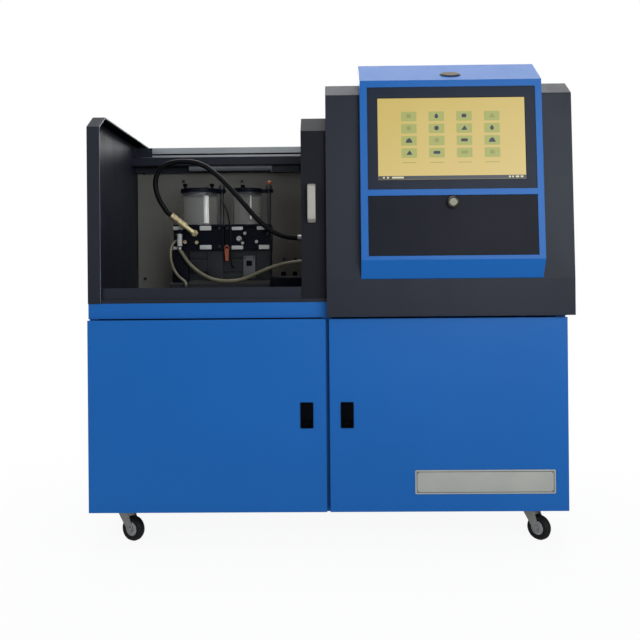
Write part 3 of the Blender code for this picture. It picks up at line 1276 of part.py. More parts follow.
def hood():
    right = HOOD_LEFT + HOOD_WIDTH
    base = CABINET_TOP + GAP
    path = [*HOOD_PATH, (HOOD_REAR, base)]
    shell = prism(folded_outline(path[::-1], SHEET), HOOD_LEFT, right)
    middle = sheet_middle(path[::-1], SHEET)
    side = prism([(middle[0][0], HOOD_BOTTOM), *middle[1:]], right - SHEET, right)
    flange_rear = APRON_FRONT - GAP
    front_flange = box((HOOD_LEFT, HOOD_FRONT + SHEET / 2, HOOD_BOTTOM), (right, flange_rear, HOOD_BOTTOM + SHEET))
    side_flange = box((CABINET_WIDTH + GAP, HOOD_FRONT + SHEET / 2, HOOD_BOTTOM),
                      (right - SHEET / 2, HOOD_REAR, HOOD_BOTTOM + SHEET))
    clear = HOOD_CLEAR_OF_COVER
    left_middle = sheet_middle(HOOD_PATH[::-1], SHEET)
    over_cover = COVER_TOP + clear
    left_flange = prism([*left_middle, (flange_rear, HOOD_BOTTOM), (flange_rear, COVER_FACE_TOP + clear),
                         (COVER_TOP_FRONT - clear / 2, over_cover), (HOOD_REAR - SHEET / 2, over_cover)],
                        HOOD_LEFT, HOOD_LEFT + SHEET)
    fuse(shell, side, front_flange, side_flange, left_flange)
    cut(shell, box((CONSOLE_LEFT + HOOD_WINDOW_INSET, HOOD_FRONT - OVERRUN, HOOD_WINDOW_LOW),
                   (CONSOLE_RIGHT - HOOD_WINDOW_INSET, HOOD_FACE_TOP_Y + SHEET + OVERRUN * 2, HOOD_WINDOW_TOP)))
    node("hood", shell, grey_paint)


def console_housing():
    """A folded housing on the hood, open behind, with a window for the screen and one for the lid."""
    on_hood = offset_path(HOOD_PATH, GAP)
    rear = CONSOLE_CREST + CONSOLE_CREST_DEPTH
    fold_y = on_hood[1][0]
    front = [(fold_y, CONSOLE_FOOT), (CONSOLE_FRONT, CONSOLE_FRONT_Z), (CONSOLE_BROW, CONSOLE_BROW_Z),
             (CONSOLE_CREST, CONSOLE_TOP), (rear, CONSOLE_TOP), (rear, on_hood[3][1])]
    body = prism([*front, on_hood[3], on_hood[2], on_hood[1]], CONSOLE_LEFT, CONSOLE_RIGHT)
    inner = offset_path(front, -SHEET)
    hollow_back = HOOD_FACE_TOP_Y + OVERRUN
    hollow = prism([(hollow_back, inner[0][1]), *inner[:-1], (inner[-1][0], inner[-1][1] - OVERRUN),
                    (hollow_back, inner[-1][1] - OVERRUN)], CONSOLE_LEFT + SHEET, CONSOLE_RIGHT - SHEET)
    cut(body, hollow)
    low_x = CONSOLE_LEFT + CONSOLE_SIDE
    high_x = CONSOLE_RIGHT - CONSOLE_SIDE + SHEET
    for low_up, height in ((SCREEN_WINDOW_LOW, SCREEN_WINDOW_HEIGHT), (LID_WINDOW_LOW, LID_WINDOW_HEIGHT)):
        cut(body, console_plate(low_x, high_x, low_up, low_up + height, -SHEET - OVERRUN, OVERRUN))
    axis_up = LID_WINDOW_LOW + LID_AXIS_UP
    axis = on_console(axis_up, -LID_AXIS_IN)
    outline = [on_console(axis_up + LID_TAB_RADIUS, -SHEET / 2), on_console(axis_up - LID_TAB_RADIUS, -SHEET / 2)]
    for step in range(BEND_STEPS * 2 + 1):
        angle = math.pi * step / (BEND_STEPS * 2)
        outline.append(on_console(axis_up - LID_TAB_RADIUS * math.cos(angle),
                                  -LID_AXIS_IN - LID_TAB_RADIUS * math.sin(angle)))
    for side_x in (low_x - LID_PIN_LENGTH + GAP, high_x + LID_PIN_LENGTH - GAP - LID_TAB):
        tab = prism(outline, side_x, side_x + LID_TAB)
        cut(tab, rod((side_x - OVERRUN, *axis), (side_x + LID_TAB + OVERRUN, *axis), LID_PIN_RADIUS + PIVOT_GAP, 16))
        fuse(body, tab)
    node("console_housing", body, blue_paint)


def screen():
    """The dark panel round the display, and the monitor that stands behind it."""
    low_x = CONSOLE_LEFT + CONSOLE_SIDE - SCREEN_PANEL_LAP
    high_x = CONSOLE_RIGHT - CONSOLE_SIDE + SHEET + SCREEN_PANEL_LAP
    low_up = SCREEN_WINDOW_LOW - SCREEN_PANEL_LAP
    high_up = SCREEN_WINDOW_LOW + SCREEN_WINDOW_HEIGHT + SCREEN_PANEL_LAP
    front = -SHEET - GAP
    back = front - SCREEN_PANEL
    panel = console_plate(low_x, high_x, low_up, high_up, back, front)
    middle = CONSOLE_LEFT + CONSOLE_WIDTH / 2 + SHEET / 2
    half = DISPLAY_WIDTH / 2
    top = DISPLAY_LOW + DISPLAY_HEIGHT
    cut(panel, console_plate(middle - half - DISPLAY_MARGIN, middle + half + DISPLAY_MARGIN,
                             DISPLAY_LOW - DISPLAY_MARGIN, top + DISPLAY_MARGIN, back - OVERRUN, front + OVERRUN))
    node("screen_panel", panel, black_plastic)
    face = back - GAP
    body = console_plate(middle - half - MONITOR_MARGIN, middle + half + MONITOR_MARGIN,
                         DISPLAY_LOW - MONITOR_MARGIN, top + MONITOR_MARGIN, face - MONITOR_DEPTH, face)
    glass = console_plate(middle - half, middle + half, DISPLAY_LOW, top, face - MONITOR_STEP, face + MONITOR_STEP)
    node("monitor", fuse(body, glass), screen_glass)


def keyboard_lid():
    low_x = CONSOLE_LEFT + CONSOLE_SIDE + LID_GAP
    high_x = CONSOLE_RIGHT - CONSOLE_SIDE + SHEET - LID_GAP
    low_up = LID_WINDOW_LOW + LID_GAP
    high_up = LID_WINDOW_LOW + LID_WINDOW_HEIGHT - LID_GAP
    front = -LID_RECESS
    back = front - SHEET
    lid = console_plate(low_x, high_x, low_up, high_up, back, front)
    axis_up = LID_WINDOW_LOW + LID_AXIS_UP
    axis = on_console(axis_up, -LID_AXIS_IN)
    for edge_x in (low_x + LID_GAP, high_x - SHEET - LID_GAP):
        fuse(lid, console_plate(edge_x, edge_x + SHEET, axis_up + LID_RETURN, high_up - LID_RETURN,
                                back - LID_RETURN, front - SHEET / 2))
    reach = LID_PIN_LENGTH - GAP
    boss_end = high_x - low_x - LID_GAP
    fuse(lid, turned([(0, -reach), (LID_PIN_RADIUS, -reach), (LID_PIN_RADIUS, LID_GAP), (LID_BOSS_RADIUS, LID_GAP),
                      (LID_BOSS_RADIUS, boss_end), (LID_PIN_RADIUS, boss_end),
                      (LID_PIN_RADIUS, boss_end + LID_GAP + reach), (0, boss_end + LID_GAP + reach)],
                     (low_x, *axis), (1, 0, 0), 16))
    middle = (low_x + high_x) / 2
    knob_centre = on_console(KNOB_UP, back - OVERRUN)
    knob_front = on_console(KNOB_UP, front + OVERRUN)
    cut(lid, rod((middle, *knob_centre), (middle, *knob_front), KNOB_SHAFT + PIVOT_GAP))
    lid = node("keyboard_lid", lid, grey_paint, pivot=(middle, *axis))
    keyboard_back = back - GAP
    board = console_plate(middle - KEYBOARD_WIDTH / 2, middle + KEYBOARD_WIDTH / 2, KEYBOARD_LOW,
                          KEYBOARD_LOW + KEYBOARD_HEIGHT, keyboard_back - KEYBOARD_THICK, keyboard_back)
    row_height = (KEYBOARD_HEIGHT - KEY_MARGIN * 2 + KEY_ROW_GAP) / KEY_ROWS
    for row in range(KEY_ROWS):
        row_low = KEYBOARD_LOW + KEY_MARGIN + row * row_height
        fuse(board, console_plate(middle - KEYBOARD_WIDTH / 2 + KEY_MARGIN, middle + KEYBOARD_WIDTH / 2 - KEY_MARGIN,
                                  row_low, row_low + row_height - KEY_ROW_GAP,
                                  keyboard_back - KEYBOARD_THICK - KEY_HEIGHT, keyboard_back - KEYBOARD_THICK / 2))
    node("keyboard", board, black_plastic, lid, (middle, *on_console(KEYBOARD_LOW, keyboard_back)))
    out = (0, CONSOLE_OUT.x, CONSOLE_OUT.y)
    lid_front = front + GAP
    tongue_front = back - GAP
    tongue_back = tongue_front - SHEET - LID_RECESS
    profile = [(0, tongue_back), (KNOB_SHAFT, tongue_back), (KNOB_SHAFT, lid_front), (KNOB_NECK, lid_front),
               (KNOB_NECK, lid_front + KNOB_RIM), (KNOB_RADIUS, lid_front + KNOB_RIM * 2),
               (KNOB_RADIUS, lid_front + KNOB_HEIGHT - KNOB_RIM), (KNOB_RADIUS - KNOB_RIM, lid_front + KNOB_HEIGHT),
               (KNOB_DISH, lid_front + KNOB_HEIGHT - KNOB_RIM / 2), (0, lid_front + KNOB_HEIGHT - KNOB_RIM / 2)]
    knob = turned(profile, (middle, *on_console(KNOB_UP, 0)), out)
    half = KNOB_TONGUE_WIDTH / 2
    fuse(knob, console_plate(middle - half, middle + KNOB_TONGUE, KNOB_UP - half, KNOB_UP + half, tongue_back,
                             tongue_front))
    node("lid_knob", knob, bright_steel, lid, (middle, *on_console(KNOB_UP, lid_front)))


# Casters

def caster(name, x, y, turn):
    """A plate, a fork that swivels under it with its axle, and a wheel. Unturned, the fork trails towards +X."""
    plate_top = CABINET_BOTTOM - GAP
    plate_low = plate_top - CASTER_PLATE
    half_x = CASTER_PLATE_X / 2
    half_y = CASTER_PLATE_Y / 2
    plate = prism(fillet(rectangle((x - half_x, y - half_y), (x + half_x, y + half_y)), CASTER_PLATE_CORNER),
                  plate_low, plate_top, "Z")
    fuse(plate, rod((x, y, plate_low - CASTER_RACE), (x, y, plate_low + CASTER_PLATE / 2), CASTER_RACE_RADIUS))
    node(name + "_caster_plate", plate, bright_steel)
    crown_top = plate_low - CASTER_RACE - GAP
    crown_low = crown_top - FORK_CROWN
    fork = rod((0, 0, crown_low), (0, 0, crown_top), FORK_CROWN_RADIUS)
    for side in (-1, 1):
        inner = side * (FORK_HALF - FORK_SHEET)
        outer = side * FORK_HALF
        leg_front = -FORK_CROWN_RADIUS * 3 / 4
        leg = [(leg_front, crown_top - FORK_CROWN / 2), (leg_front, crown_low - FORK_CROWN)]
        for step in range(-4, 3):
            angle = math.radians(30 * step - 30)
            leg.append((CASTER_TRAIL + FORK_FOOT_RADIUS * math.cos(angle),
                        WHEEL_RADIUS + FORK_FOOT_RADIUS * math.sin(angle)))
        leg.append((FORK_CROWN_RADIUS * 3 / 4, crown_top - FORK_CROWN / 2))
        fuse(fork, prism(leg, min(inner, outer), max(inner, outer), "Y"))
    reach = FORK_HALF + AXLE_HEAD
    head = FORK_HALF - GAP
    axle = [(0, -reach), (AXLE_HEAD_RADIUS, -reach), (AXLE_HEAD_RADIUS, -head), (AXLE_RADIUS, -head),
            (AXLE_RADIUS, head), (AXLE_HEAD_RADIUS, head), (AXLE_HEAD_RADIUS, reach), (0, reach)]
    fuse(fork, turned(axle, (CASTER_TRAIL, 0, WHEEL_RADIUS), (0, 1, 0), 16))
    half = WHEEL_WIDTH / 2
    hub = FORK_HALF - FORK_SHEET - GAP
    tread = [(AXLE_RADIUS + PIVOT_GAP, -hub), (AXLE_HEAD_RADIUS, -hub), (WHEEL_HUB_RADIUS, -half + WHEEL_HUB_STEP),
             (WHEEL_HUB_RADIUS + WHEEL_HUB_STEP, -half), (WHEEL_RADIUS - WHEEL_CROWN, -half),
             (WHEEL_RADIUS, -half + WHEEL_CROWN * 2), (WHEEL_RADIUS, half - WHEEL_CROWN * 2),
             (WHEEL_RADIUS - WHEEL_CROWN, half), (WHEEL_HUB_RADIUS + WHEEL_HUB_STEP, half),
             (WHEEL_HUB_RADIUS, half - WHEEL_HUB_STEP), (AXLE_HEAD_RADIUS, hub), (AXLE_RADIUS + PIVOT_GAP, hub)]
    wheel = turned(tread, (CASTER_TRAIL, 0, WHEEL_RADIUS), (0, 1, 0), ROUND_STEPS * 4 // 3, closed=True)
    place = Matrix.Translation((x, y, 0)) @ Matrix.Rotation(math.radians(turn), 4, "Z")
    move(fork, place)
    move(wheel, place)
    fork = node(name + "_caster_fork", fork, bright_steel, pivot=(x, y, crown_top))
    centre = place @ Vector((CASTER_TRAIL, 0, WHEEL_RADIUS))
    node(name + "_caster_wheel", wheel, rubber, fork, centre)
    axis = place.to_3x3() @ Vector((0, 1, 0))
    print(name, "axle axis", tuple(round(value, 5) for value in axis))


def casters():
    left = CASTER_INSET_X
    right = CABINET_WIDTH - CASTER_INSET_X
    front = CASTER_INSET_Y
    rear = CABINET_REAR - CASTER_INSET_Y
    caster("front_left", left, front, CASTER_TURN_LEFT)
    caster("front_right", right, front, CASTER_TURN_RIGHT)
    caster("rear_left", left, rear, CASTER_TURN_REAR_LEFT)
    caster("rear_right", right, rear, CASTER_TURN_REAR_RIGHT)


# Machinery

def oil_tank():
    low = CABINET_BOTTOM + SHEET + GAP
    high = low + TANK_HEIGHT
    outline = rectangle((TANK_LEFT, TANK_FRONT), (TANK_LEFT + TANK_WIDTH, TANK_FRONT + TANK_DEPTH))
    inside = rectangle((TANK_LEFT + SHEET, TANK_FRONT + SHEET),
                       (TANK_LEFT + TANK_WIDTH - SHEET, TANK_FRONT + TANK_DEPTH - SHEET))
    tank = prism(fillet(outline, TANK_CORNER), low, high, "Z")
    neck_x = TANK_LEFT + TANK_WIDTH / 2
    neck_y = TANK_FRONT + TANK_DEPTH / 4
    fuse(tank, rod((neck_x, neck_y, high - SHEET), (neck_x, neck_y, high + NECK_HEIGHT), NECK_RADIUS))
    cut(tank, prism(fillet(inside, TANK_CORNER - SHEET), low + SHEET, high - SHEET, "Z"))
    cut(tank, rod((neck_x, neck_y, high - SHEET - OVERRUN), (neck_x, neck_y, high + NECK_HEIGHT + OVERRUN),
                  NECK_RADIUS - NECK_WALL))
    node("oil_tank", tank, grey_paint)


def drive_line():
    """A finned motor on its feet, a coupling and a pump with three heads, all on one shaft line."""
    floor = CABINET_BOTTOM + SHEET + GAP
    axis_z = floor + MOTOR_AXIS
    fins = []
    for index in range(MOTOR_FIN_COUNT):
        pitch = 2 * math.pi / MOTOR_FIN_COUNT
        tip = MOTOR_RADIUS + MOTOR_FIN
        for share, radius in ((0, MOTOR_RADIUS), (MOTOR_FIN_SHARE / 4, tip), (MOTOR_FIN_SHARE * 3 / 4, tip),
                              (MOTOR_FIN_SHARE, MOTOR_RADIUS)):
            angle = pitch * (index + share)
            fins.append((MOTOR_Y + radius * math.cos(angle), axis_z + radius * math.sin(angle)))
    right = MOTOR_LEFT + MOTOR_LENGTH
    motor = prism(fins, MOTOR_LEFT + MOTOR_BELL, right - MOTOR_BELL)
    bell = MOTOR_RADIUS + MOTOR_FIN * 3 / 4
    profile = [(0, 0), (bell * 3 / 4, 0), (bell, MOTOR_BELL / 2), (bell, MOTOR_BELL + SHEET),
               (MOTOR_RADIUS / 2, MOTOR_BELL + SHEET), (MOTOR_RADIUS / 2, MOTOR_LENGTH - MOTOR_BELL - SHEET),
               (bell, MOTOR_LENGTH - MOTOR_BELL - SHEET), (bell, MOTOR_LENGTH - MOTOR_BELL / 2),
               (bell * 2 / 3, MOTOR_LENGTH), (MOTOR_SHAFT_RADIUS, MOTOR_LENGTH),
               (MOTOR_SHAFT_RADIUS, MOTOR_LENGTH + MOTOR_SHAFT), (0, MOTOR_LENGTH + MOTOR_SHAFT)]
    fuse(motor, turned(profile, (MOTOR_LEFT, MOTOR_Y, axis_z), (1, 0, 0)))
    foot_left = MOTOR_LEFT + (MOTOR_LENGTH - MOTOR_FOOT_LENGTH) / 2
    half = MOTOR_FOOT_WIDTH / 2
    foot = [(MOTOR_Y - half, floor), (MOTOR_Y + half, floor), (MOTOR_Y + half, floor + MOTOR_FOOT),
            (MOTOR_Y + half / 2, floor + MOTOR_FOOT_RISE), (MOTOR_Y - half / 2, floor + MOTOR_FOOT_RISE),
            (MOTOR_Y - half, floor + MOTOR_FOOT)]
    fuse(motor, prism(foot, foot_left, foot_left + MOTOR_FOOT_LENGTH))
    node("drive_motor", motor, cast_grey)
    shaft_end = right + MOTOR_SHAFT
    coupling_left = shaft_end + GAP
    middle = COUPLING_LENGTH / 2
    waist = COUPLING_LENGTH / 8
    rings = [(0, 0), (COUPLING_RADIUS, 0), (COUPLING_RADIUS, middle - waist), (COUPLING_WAIST, middle - waist / 2),
             (COUPLING_WAIST, middle + waist / 2), (COUPLING_RADIUS, middle + waist),
             (COUPLING_RADIUS, COUPLING_LENGTH), (0, COUPLING_LENGTH)]
    node("shaft_coupling", turned(rings, (coupling_left, MOTOR_Y, axis_z), (1, 0, 0)), bright_steel,
         pivot=(coupling_left, MOTOR_Y, axis_z))
    pump_left = coupling_left + COUPLING_LENGTH + GAP
    shaft = MOTOR_SHAFT
    profile = [(0, 0), (MOTOR_SHAFT_RADIUS, 0), (MOTOR_SHAFT_RADIUS, shaft), (PUMP_FLANGE_RADIUS, shaft),
               (PUMP_FLANGE_RADIUS, shaft + PUMP_FLANGE), (PUMP_RADIUS, shaft + PUMP_FLANGE),
               (PUMP_RADIUS, shaft + PUMP_LENGTH), (PUMP_RADIUS * 2 / 3, shaft + PUMP_LENGTH + PUMP_FLANGE),
               (0, shaft + PUMP_LENGTH + PUMP_FLANGE)]
    pump = turned(profile, (pump_left, MOTOR_Y, axis_z), (1, 0, 0))
    head_x = pump_left + shaft + PUMP_FLANGE + (PUMP_LENGTH - PUMP_FLANGE) / 2
    for index in range(PUMP_HEAD_COUNT):
        angle = 2 * math.pi * index / PUMP_HEAD_COUNT + math.pi / 2
        out = Vector((0, math.cos(angle), math.sin(angle)))
        start = Vector((head_x, MOTOR_Y, axis_z))
        fuse(pump, rod(start, start + out * PUMP_HEAD_REACH, PUMP_HEAD_RADIUS, ROUND_STEPS * 2 // 3))
    half = PUMP_FOOT_WIDTH / 2
    foot_x = pump_left + shaft
    bracket = [(MOTOR_Y - half, floor), (MOTOR_Y + half, floor), (MOTOR_Y + PUMP_RADIUS, axis_z),
               (MOTOR_Y - PUMP_RADIUS, axis_z)]
    fuse(pump, prism(bracket, foot_x - PUMP_FOOT / 2, foot_x + PUMP_FOOT / 2))
    node("high_pressure_pump", pump, cast_grey)


def control_box():
    """A steel box against the rear lip, with its lid forward and a cable hole in its floor."""
    rear = CABINET_REAR - SHEET - GAP
    front = rear - CONTROL_DEPTH
    low = CONTROL_BOTTOM
    high = low + CONTROL_HEIGHT
    left = CONTROL_LEFT
    right = left + CONTROL_WIDTH + SHEET
    case = box((left, front, low), (right, rear, high))
    fuse(case, box((left - CONTROL_LID_STEP, front - CONTROL_LID, low - CONTROL_LID_STEP),
                   (right + CONTROL_LID_STEP, front + SHEET, high + CONTROL_LID_STEP)))
    cut(case, box((left + SHEET, front - CONTROL_LID + SHEET, low + SHEET),
                  (right - SHEET, rear - SHEET, high - SHEET)))
    middle = ((left + right) / 2, front + CONTROL_DEPTH / 2)
    cut(case, rod((*middle, low - OVERRUN), (*middle, low + OVERRUN), CONTROL_CABLE_HOLE / 2))
    node("control_box", case, panel_paint)


def centre_on_floor():
    """Moves the whole tester so that its box stands centred over the origin."""
    bpy.context.view_layer.update()
    corners = []
    for obj in bpy.data.objects:
        if obj.type != "EMPTY":
            corners += [obj.matrix_world @ Vector(corner) for corner in obj.bound_box]
    low = Vector(map(min, zip(*corners)))
    high = Vector(map(max, zip(*corners)))
    tester.location = (-(low.x + high.x) / 2, -(low.y + high.y) / 2, 0)
    print("offset", tuple(round(value, 5) for value in tester.location), "size", high - low, "low", low)


cabinet_shell()
rear_cover()
doors()
worktop_tray()
left_guard()
bay_back_panel()
rear_beam()
cover_rail()
front_track()
lamp_bar()
port_panel()
fixture_base()
manifolds()
measuring_glass("left", LEFT_GLASS_X, LEFT_GLASS_RADIUS, LEFT_POST_X, True)
measuring_glass("right", RIGHT_GLASS_X, RIGHT_GLASS_RADIUS, RIGHT_POST_X, False)
hose_fitting()
valve_lever()
valve_block()
hoses()
sliding_cover()
hood()
console_housing()
screen()
keyboard_lid()
casters()
oil_tank()
drive_line()
control_box()
centre_on_floor()
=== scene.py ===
# Looks of the diesel injector tester: camera, hoses, paint, metal, screen, small hardware and lights.
import json
import math

import bmesh
import bpy
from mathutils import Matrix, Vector


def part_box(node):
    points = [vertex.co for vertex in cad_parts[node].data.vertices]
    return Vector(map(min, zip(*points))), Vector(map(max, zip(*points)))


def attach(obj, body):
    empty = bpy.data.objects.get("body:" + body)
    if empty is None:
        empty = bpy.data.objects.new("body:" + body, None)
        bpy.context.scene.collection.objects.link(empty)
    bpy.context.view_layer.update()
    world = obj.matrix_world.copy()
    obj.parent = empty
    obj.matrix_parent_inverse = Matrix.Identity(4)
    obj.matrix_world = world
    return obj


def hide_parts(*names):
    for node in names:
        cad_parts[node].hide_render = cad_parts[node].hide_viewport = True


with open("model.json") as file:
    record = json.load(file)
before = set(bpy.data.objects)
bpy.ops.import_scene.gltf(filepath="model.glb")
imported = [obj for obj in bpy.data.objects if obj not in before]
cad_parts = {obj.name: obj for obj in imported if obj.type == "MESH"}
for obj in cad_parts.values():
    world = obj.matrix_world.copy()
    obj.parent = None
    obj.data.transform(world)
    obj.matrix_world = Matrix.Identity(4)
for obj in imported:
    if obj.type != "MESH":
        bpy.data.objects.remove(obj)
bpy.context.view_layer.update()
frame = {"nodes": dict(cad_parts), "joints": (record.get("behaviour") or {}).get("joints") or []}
nodes = frame["nodes"]
cabinetCorner = Vector((-.722, -.348449, 0))  # left front foot of the doors, where places start from
acrossWay = Vector((1, 0, 0))
rearWay = Vector((0, 1, 0))
frontWay = Vector((0, -1, 0))
upWay = Vector((0, 0, 1))
print("frame loaded:", len(nodes), "pieces of the tester")


def linkObject(name, data):
    made = bpy.data.objects.new(name, data)
    bpy.context.scene.collection.objects.link(made)
    return made


cameraLook = {
    "sensor_width": 36, "lens": 43.576873, "shift_x": -.00109375, "shift_y": -.0740625, "clip_end": 60}
cameraData = bpy.data.cameras.new("photoCamera")
for key, value in cameraLook.items():
    setattr(cameraData, key, value)
photoCamera = linkObject("photoCamera", cameraData)
photoCamera.location = (.0079, -2.648449, .8118)
photoCamera.rotation_euler = (1.5725964, .0089, .013716)
bpy.context.scene.camera = photoCamera
print("camera placed")


# Small helpers for pieces and for nodes

def onCabinet(x, y, z):
    return cabinetCorner + Vector((x, y, z))


def placeMesh(name, mesh, material, body):
    piece = linkObject(name, mesh)
    mesh.materials.clear()
    mesh.materials.append(material)
    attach(piece, body)
    return piece


def setInputs(tree, node, inputs):
    for key, value in inputs.items():
        if isinstance(value, bpy.types.NodeSocket):
            tree.links.new(value, node.inputs[key])
        else:
            node.inputs[key].default_value = value


def addNode(tree, kind, inputs=None, **settings):
    node = tree.nodes.new(kind if "Node" in kind else "ShaderNode" + kind)
    for key, value in settings.items():
        setattr(node, key, value)
    setInputs(tree, node, inputs or {})
    return node


def calc(tree, operation, *values, clamp=False):
    return addNode(tree, "Math", dict(enumerate(values)), operation=operation, use_clamp=clamp).outputs[0]


def mixColors(tree, share, *colors):
    colors = [(*color, 1) if isinstance(color, tuple) else color for color in colors]
    return addNode(tree, "Mix", {0: share, 6: colors[0], 7: colors[1]}, data_type="RGBA").outputs[2]


def objectPlace(tree):
    return addNode(tree, "TexCoord").outputs["Object"]


def noise(tree, place, scale, detail=4.0, roughness=.5):
    return addNode(tree, "TexNoise", {
        "Vector": place, "Scale": scale, "Detail": detail, "Roughness": roughness}).outputs["Fac"]


def ranged(tree, value, low, high, newLow=0.0, newHigh=1.0):
    return addNode(tree, "MapRange", {
        "Value": value, "From Min": low, "From Max": high, "To Min": newLow, "To Max": newHigh}).outputs[0]


def spaced(key):
    # headRadius becomes Head Radius, the name of the socket that it sets
    return "".join(" " + letter if letter.isupper() else letter for letter in key).title()


def socketKind(value):
    if isinstance(value, str):
        return value
    if isinstance(value, tuple):
        return "Color" if len(value) == 4 else "Vector"
    return "Int" if isinstance(value, int) else "Float"


def newGroup(name, family, ins, outs):
    # ins and outs give each socket's default value, or the name of its kind
    group = bpy.data.node_groups.new(name, family + "NodeTree")
    for way, sockets in (("INPUT", ins), ("OUTPUT", outs)):
        for socketName, value in sockets.items():
            kind = "NodeSocket" + socketKind(value)
            socket = group.interface.new_socket(socketName, in_out=way, socket_type=kind)
            if not isinstance(value, str):
                socket.default_value = value
    return group, group.nodes.new("NodeGroupInput").outputs, group.nodes.new("NodeGroupOutput").inputs


# Shared effects: tone, wear on edges, grain and settled dust

def buildToneGroup():
    tree, given, result = newGroup("paintTone", "Shader", {
        "Color": (.5, .5, .5, 1), "Shade": (.4, .4, .4, 1), "Patch": 3.0, "Mottle": .3,
        "Dust Color": (.3, .28, .25, 1), "Dust": .1, "Smear": .1,
    }, {"Color": "Color", "Smear": "Float"})
    place = objectPlace(tree)
    patches = ranged(tree, noise(tree, place, given["Patch"], 4.0, .55), .35, .65)
    patched = calc(tree, "MULTIPLY", patches, given["Mottle"])
    toned = mixColors(tree, patched, given["Color"], given["Shade"])
    wiped = addNode(tree, "Mapping", {"Vector": place, "Scale": (9.0, 9.0, 2.2), "Rotation": (.35, .2, .5)})
    smears = ranged(tree, noise(tree, wiped.outputs[0], 1.6, 6.0, .62), .48, .75)
    smear = calc(tree, "MULTIPLY", smears, given["Smear"])
    normal = addNode(tree, "NewGeometry").outputs["Normal"]
    facing = addNode(tree, "SeparateXYZ", {"Vector": normal}).outputs["Z"]
    upward = calc(tree, "POWER", calc(tree, "MAXIMUM", facing, 0.0), 3.0)
    height = addNode(tree, "SeparateXYZ", {"Vector": place}).outputs["Z"]
    dustiest = calc(tree, "MAXIMUM", upward, ranged(tree, height, 0.0, .35, .5, 0.0))
    speckled = calc(tree, "MULTIPLY", dustiest, noise(tree, place, 60.0, 5.0, .7))
    settled = calc(tree, "MULTIPLY", speckled, given["Dust"], clamp=True)
    tree.links.new(mixColors(tree, settled, toned, given["Dust Color"]), result["Color"])
    tree.links.new(calc(tree, "ADD", smear, settled), result["Smear"])
    return tree


def buildEdgeGroup():
    sockets = {"Radius": .001, "Wear": .5}
    tree, given, result = newGroup("roundedEdge", "Shader", sockets, {"Mask": "Float", "Normal": "Vector"})
    soft = addNode(tree, "Bevel", {"Radius": given["Radius"]}, samples=4).outputs[0]
    flat = addNode(tree, "NewGeometry").outputs["Normal"]
    agree = addNode(tree, "VectorMath", {0: soft, 1: flat}, operation="DOT_PRODUCT").outputs["Value"]
    broken = ranged(tree, noise(tree, objectPlace(tree), 45.0), .35, .7, .25)
    bent = calc(tree, "MULTIPLY", ranged(tree, agree, .995, .8), broken)
    tree.links.new(calc(tree, "MULTIPLY", bent, given["Wear"], clamp=True), result["Mask"])
    tree.links.new(soft, result["Normal"])
    return tree


def buildGrainGroup():
    tree, given, result = newGroup("surfaceGrain", "Shader", {
        "Grain": 600.0, "Stretch": (1.0, 1.0, 1.0), "Roughness": .4, "Spread": .08, "Smear": 0.0,
    }, {"Height": "Float", "Roughness": "Float"})
    place = objectPlace(tree)
    stretched = addNode(tree, "VectorMath", {0: place, 1: given["Stretch"]}, operation="MULTIPLY")
    fine = noise(tree, stretched.outputs[0], given["Grain"], 3.0, .6)
    both = calc(tree, "ADD", fine, noise(tree, place, 7.0))
    around = calc(tree, "SUBTRACT", calc(tree, "MULTIPLY", both, .5), .5)
    rough = calc(tree, "MULTIPLY_ADD", around, given["Spread"], given["Roughness"])
    smeared = calc(tree, "MULTIPLY", given["Smear"], .35)
    tree.links.new(fine, result["Height"])
    tree.links.new(calc(tree, "ADD", rough, smeared, clamp=True), result["Roughness"])
    return tree


toneGroup = buildToneGroup()
edgeGroup = buildEdgeGroup()
grainGroup = buildGrainGroup()

plainFinish = {
    "patch": 3.0, "mottle": .5, "dustColor": (.3, .28, .25), "dust": .12, "smear": .15,
    "roughness": .4, "spread": .1, "grain": 600.0, "stretch": (1, 1, 1), "depth": .00004,
    "radius": .0012, "wear": .4, "under": (.4, .4, .4), "metallic": 0.0, "specular": .5,
    "coat": 0.0, "coatRoughness": .2, "transmission": 0.0, "ior": 1.45,
}


def newMaterial(name):
    material = bpy.data.materials.new(name)
    material.use_nodes = True
    return material, material.node_tree, material.node_tree.nodes["Principled BSDF"]


def makeFinish(name, color, shade, **look):
    values = {**plainFinish, **look, "color": color, "shade": shade}
    material, tree, shader = newMaterial(name)
    groups = [addNode(tree, "Group", node_tree=group) for group in (toneGroup, edgeGroup, grainGroup)]
    for node in groups:
        for key, value in values.items():
            socket = node.inputs.get(spaced(key))
            if socket is not None:
                socket.default_value = (*value, 1) if socket.type == "RGBA" else value
    tone, edge, grain = groups
    tree.links.new(tone.outputs["Smear"], grain.inputs["Smear"])
    bump = addNode(tree, "Bump", {
        "Height": grain.outputs["Height"], "Normal": edge.outputs["Normal"], "Strength": 1.0,
        "Distance": values["depth"]})
    setInputs(tree, shader, {
        "Base Color": mixColors(tree, edge.outputs["Mask"], tone.outputs["Color"], values["under"]),
        "Roughness": grain.outputs["Roughness"], "Normal": bump.outputs[0], "Metallic": values["metallic"],
        "Specular IOR Level": values["specular"], "Coat Weight": values["coat"],
        "Coat Roughness": values["coatRoughness"], "Transmission Weight": values["transmission"],
        "IOR": values["ior"]})
    return material


# Thin glass of the two measuring cups, with a film of oil

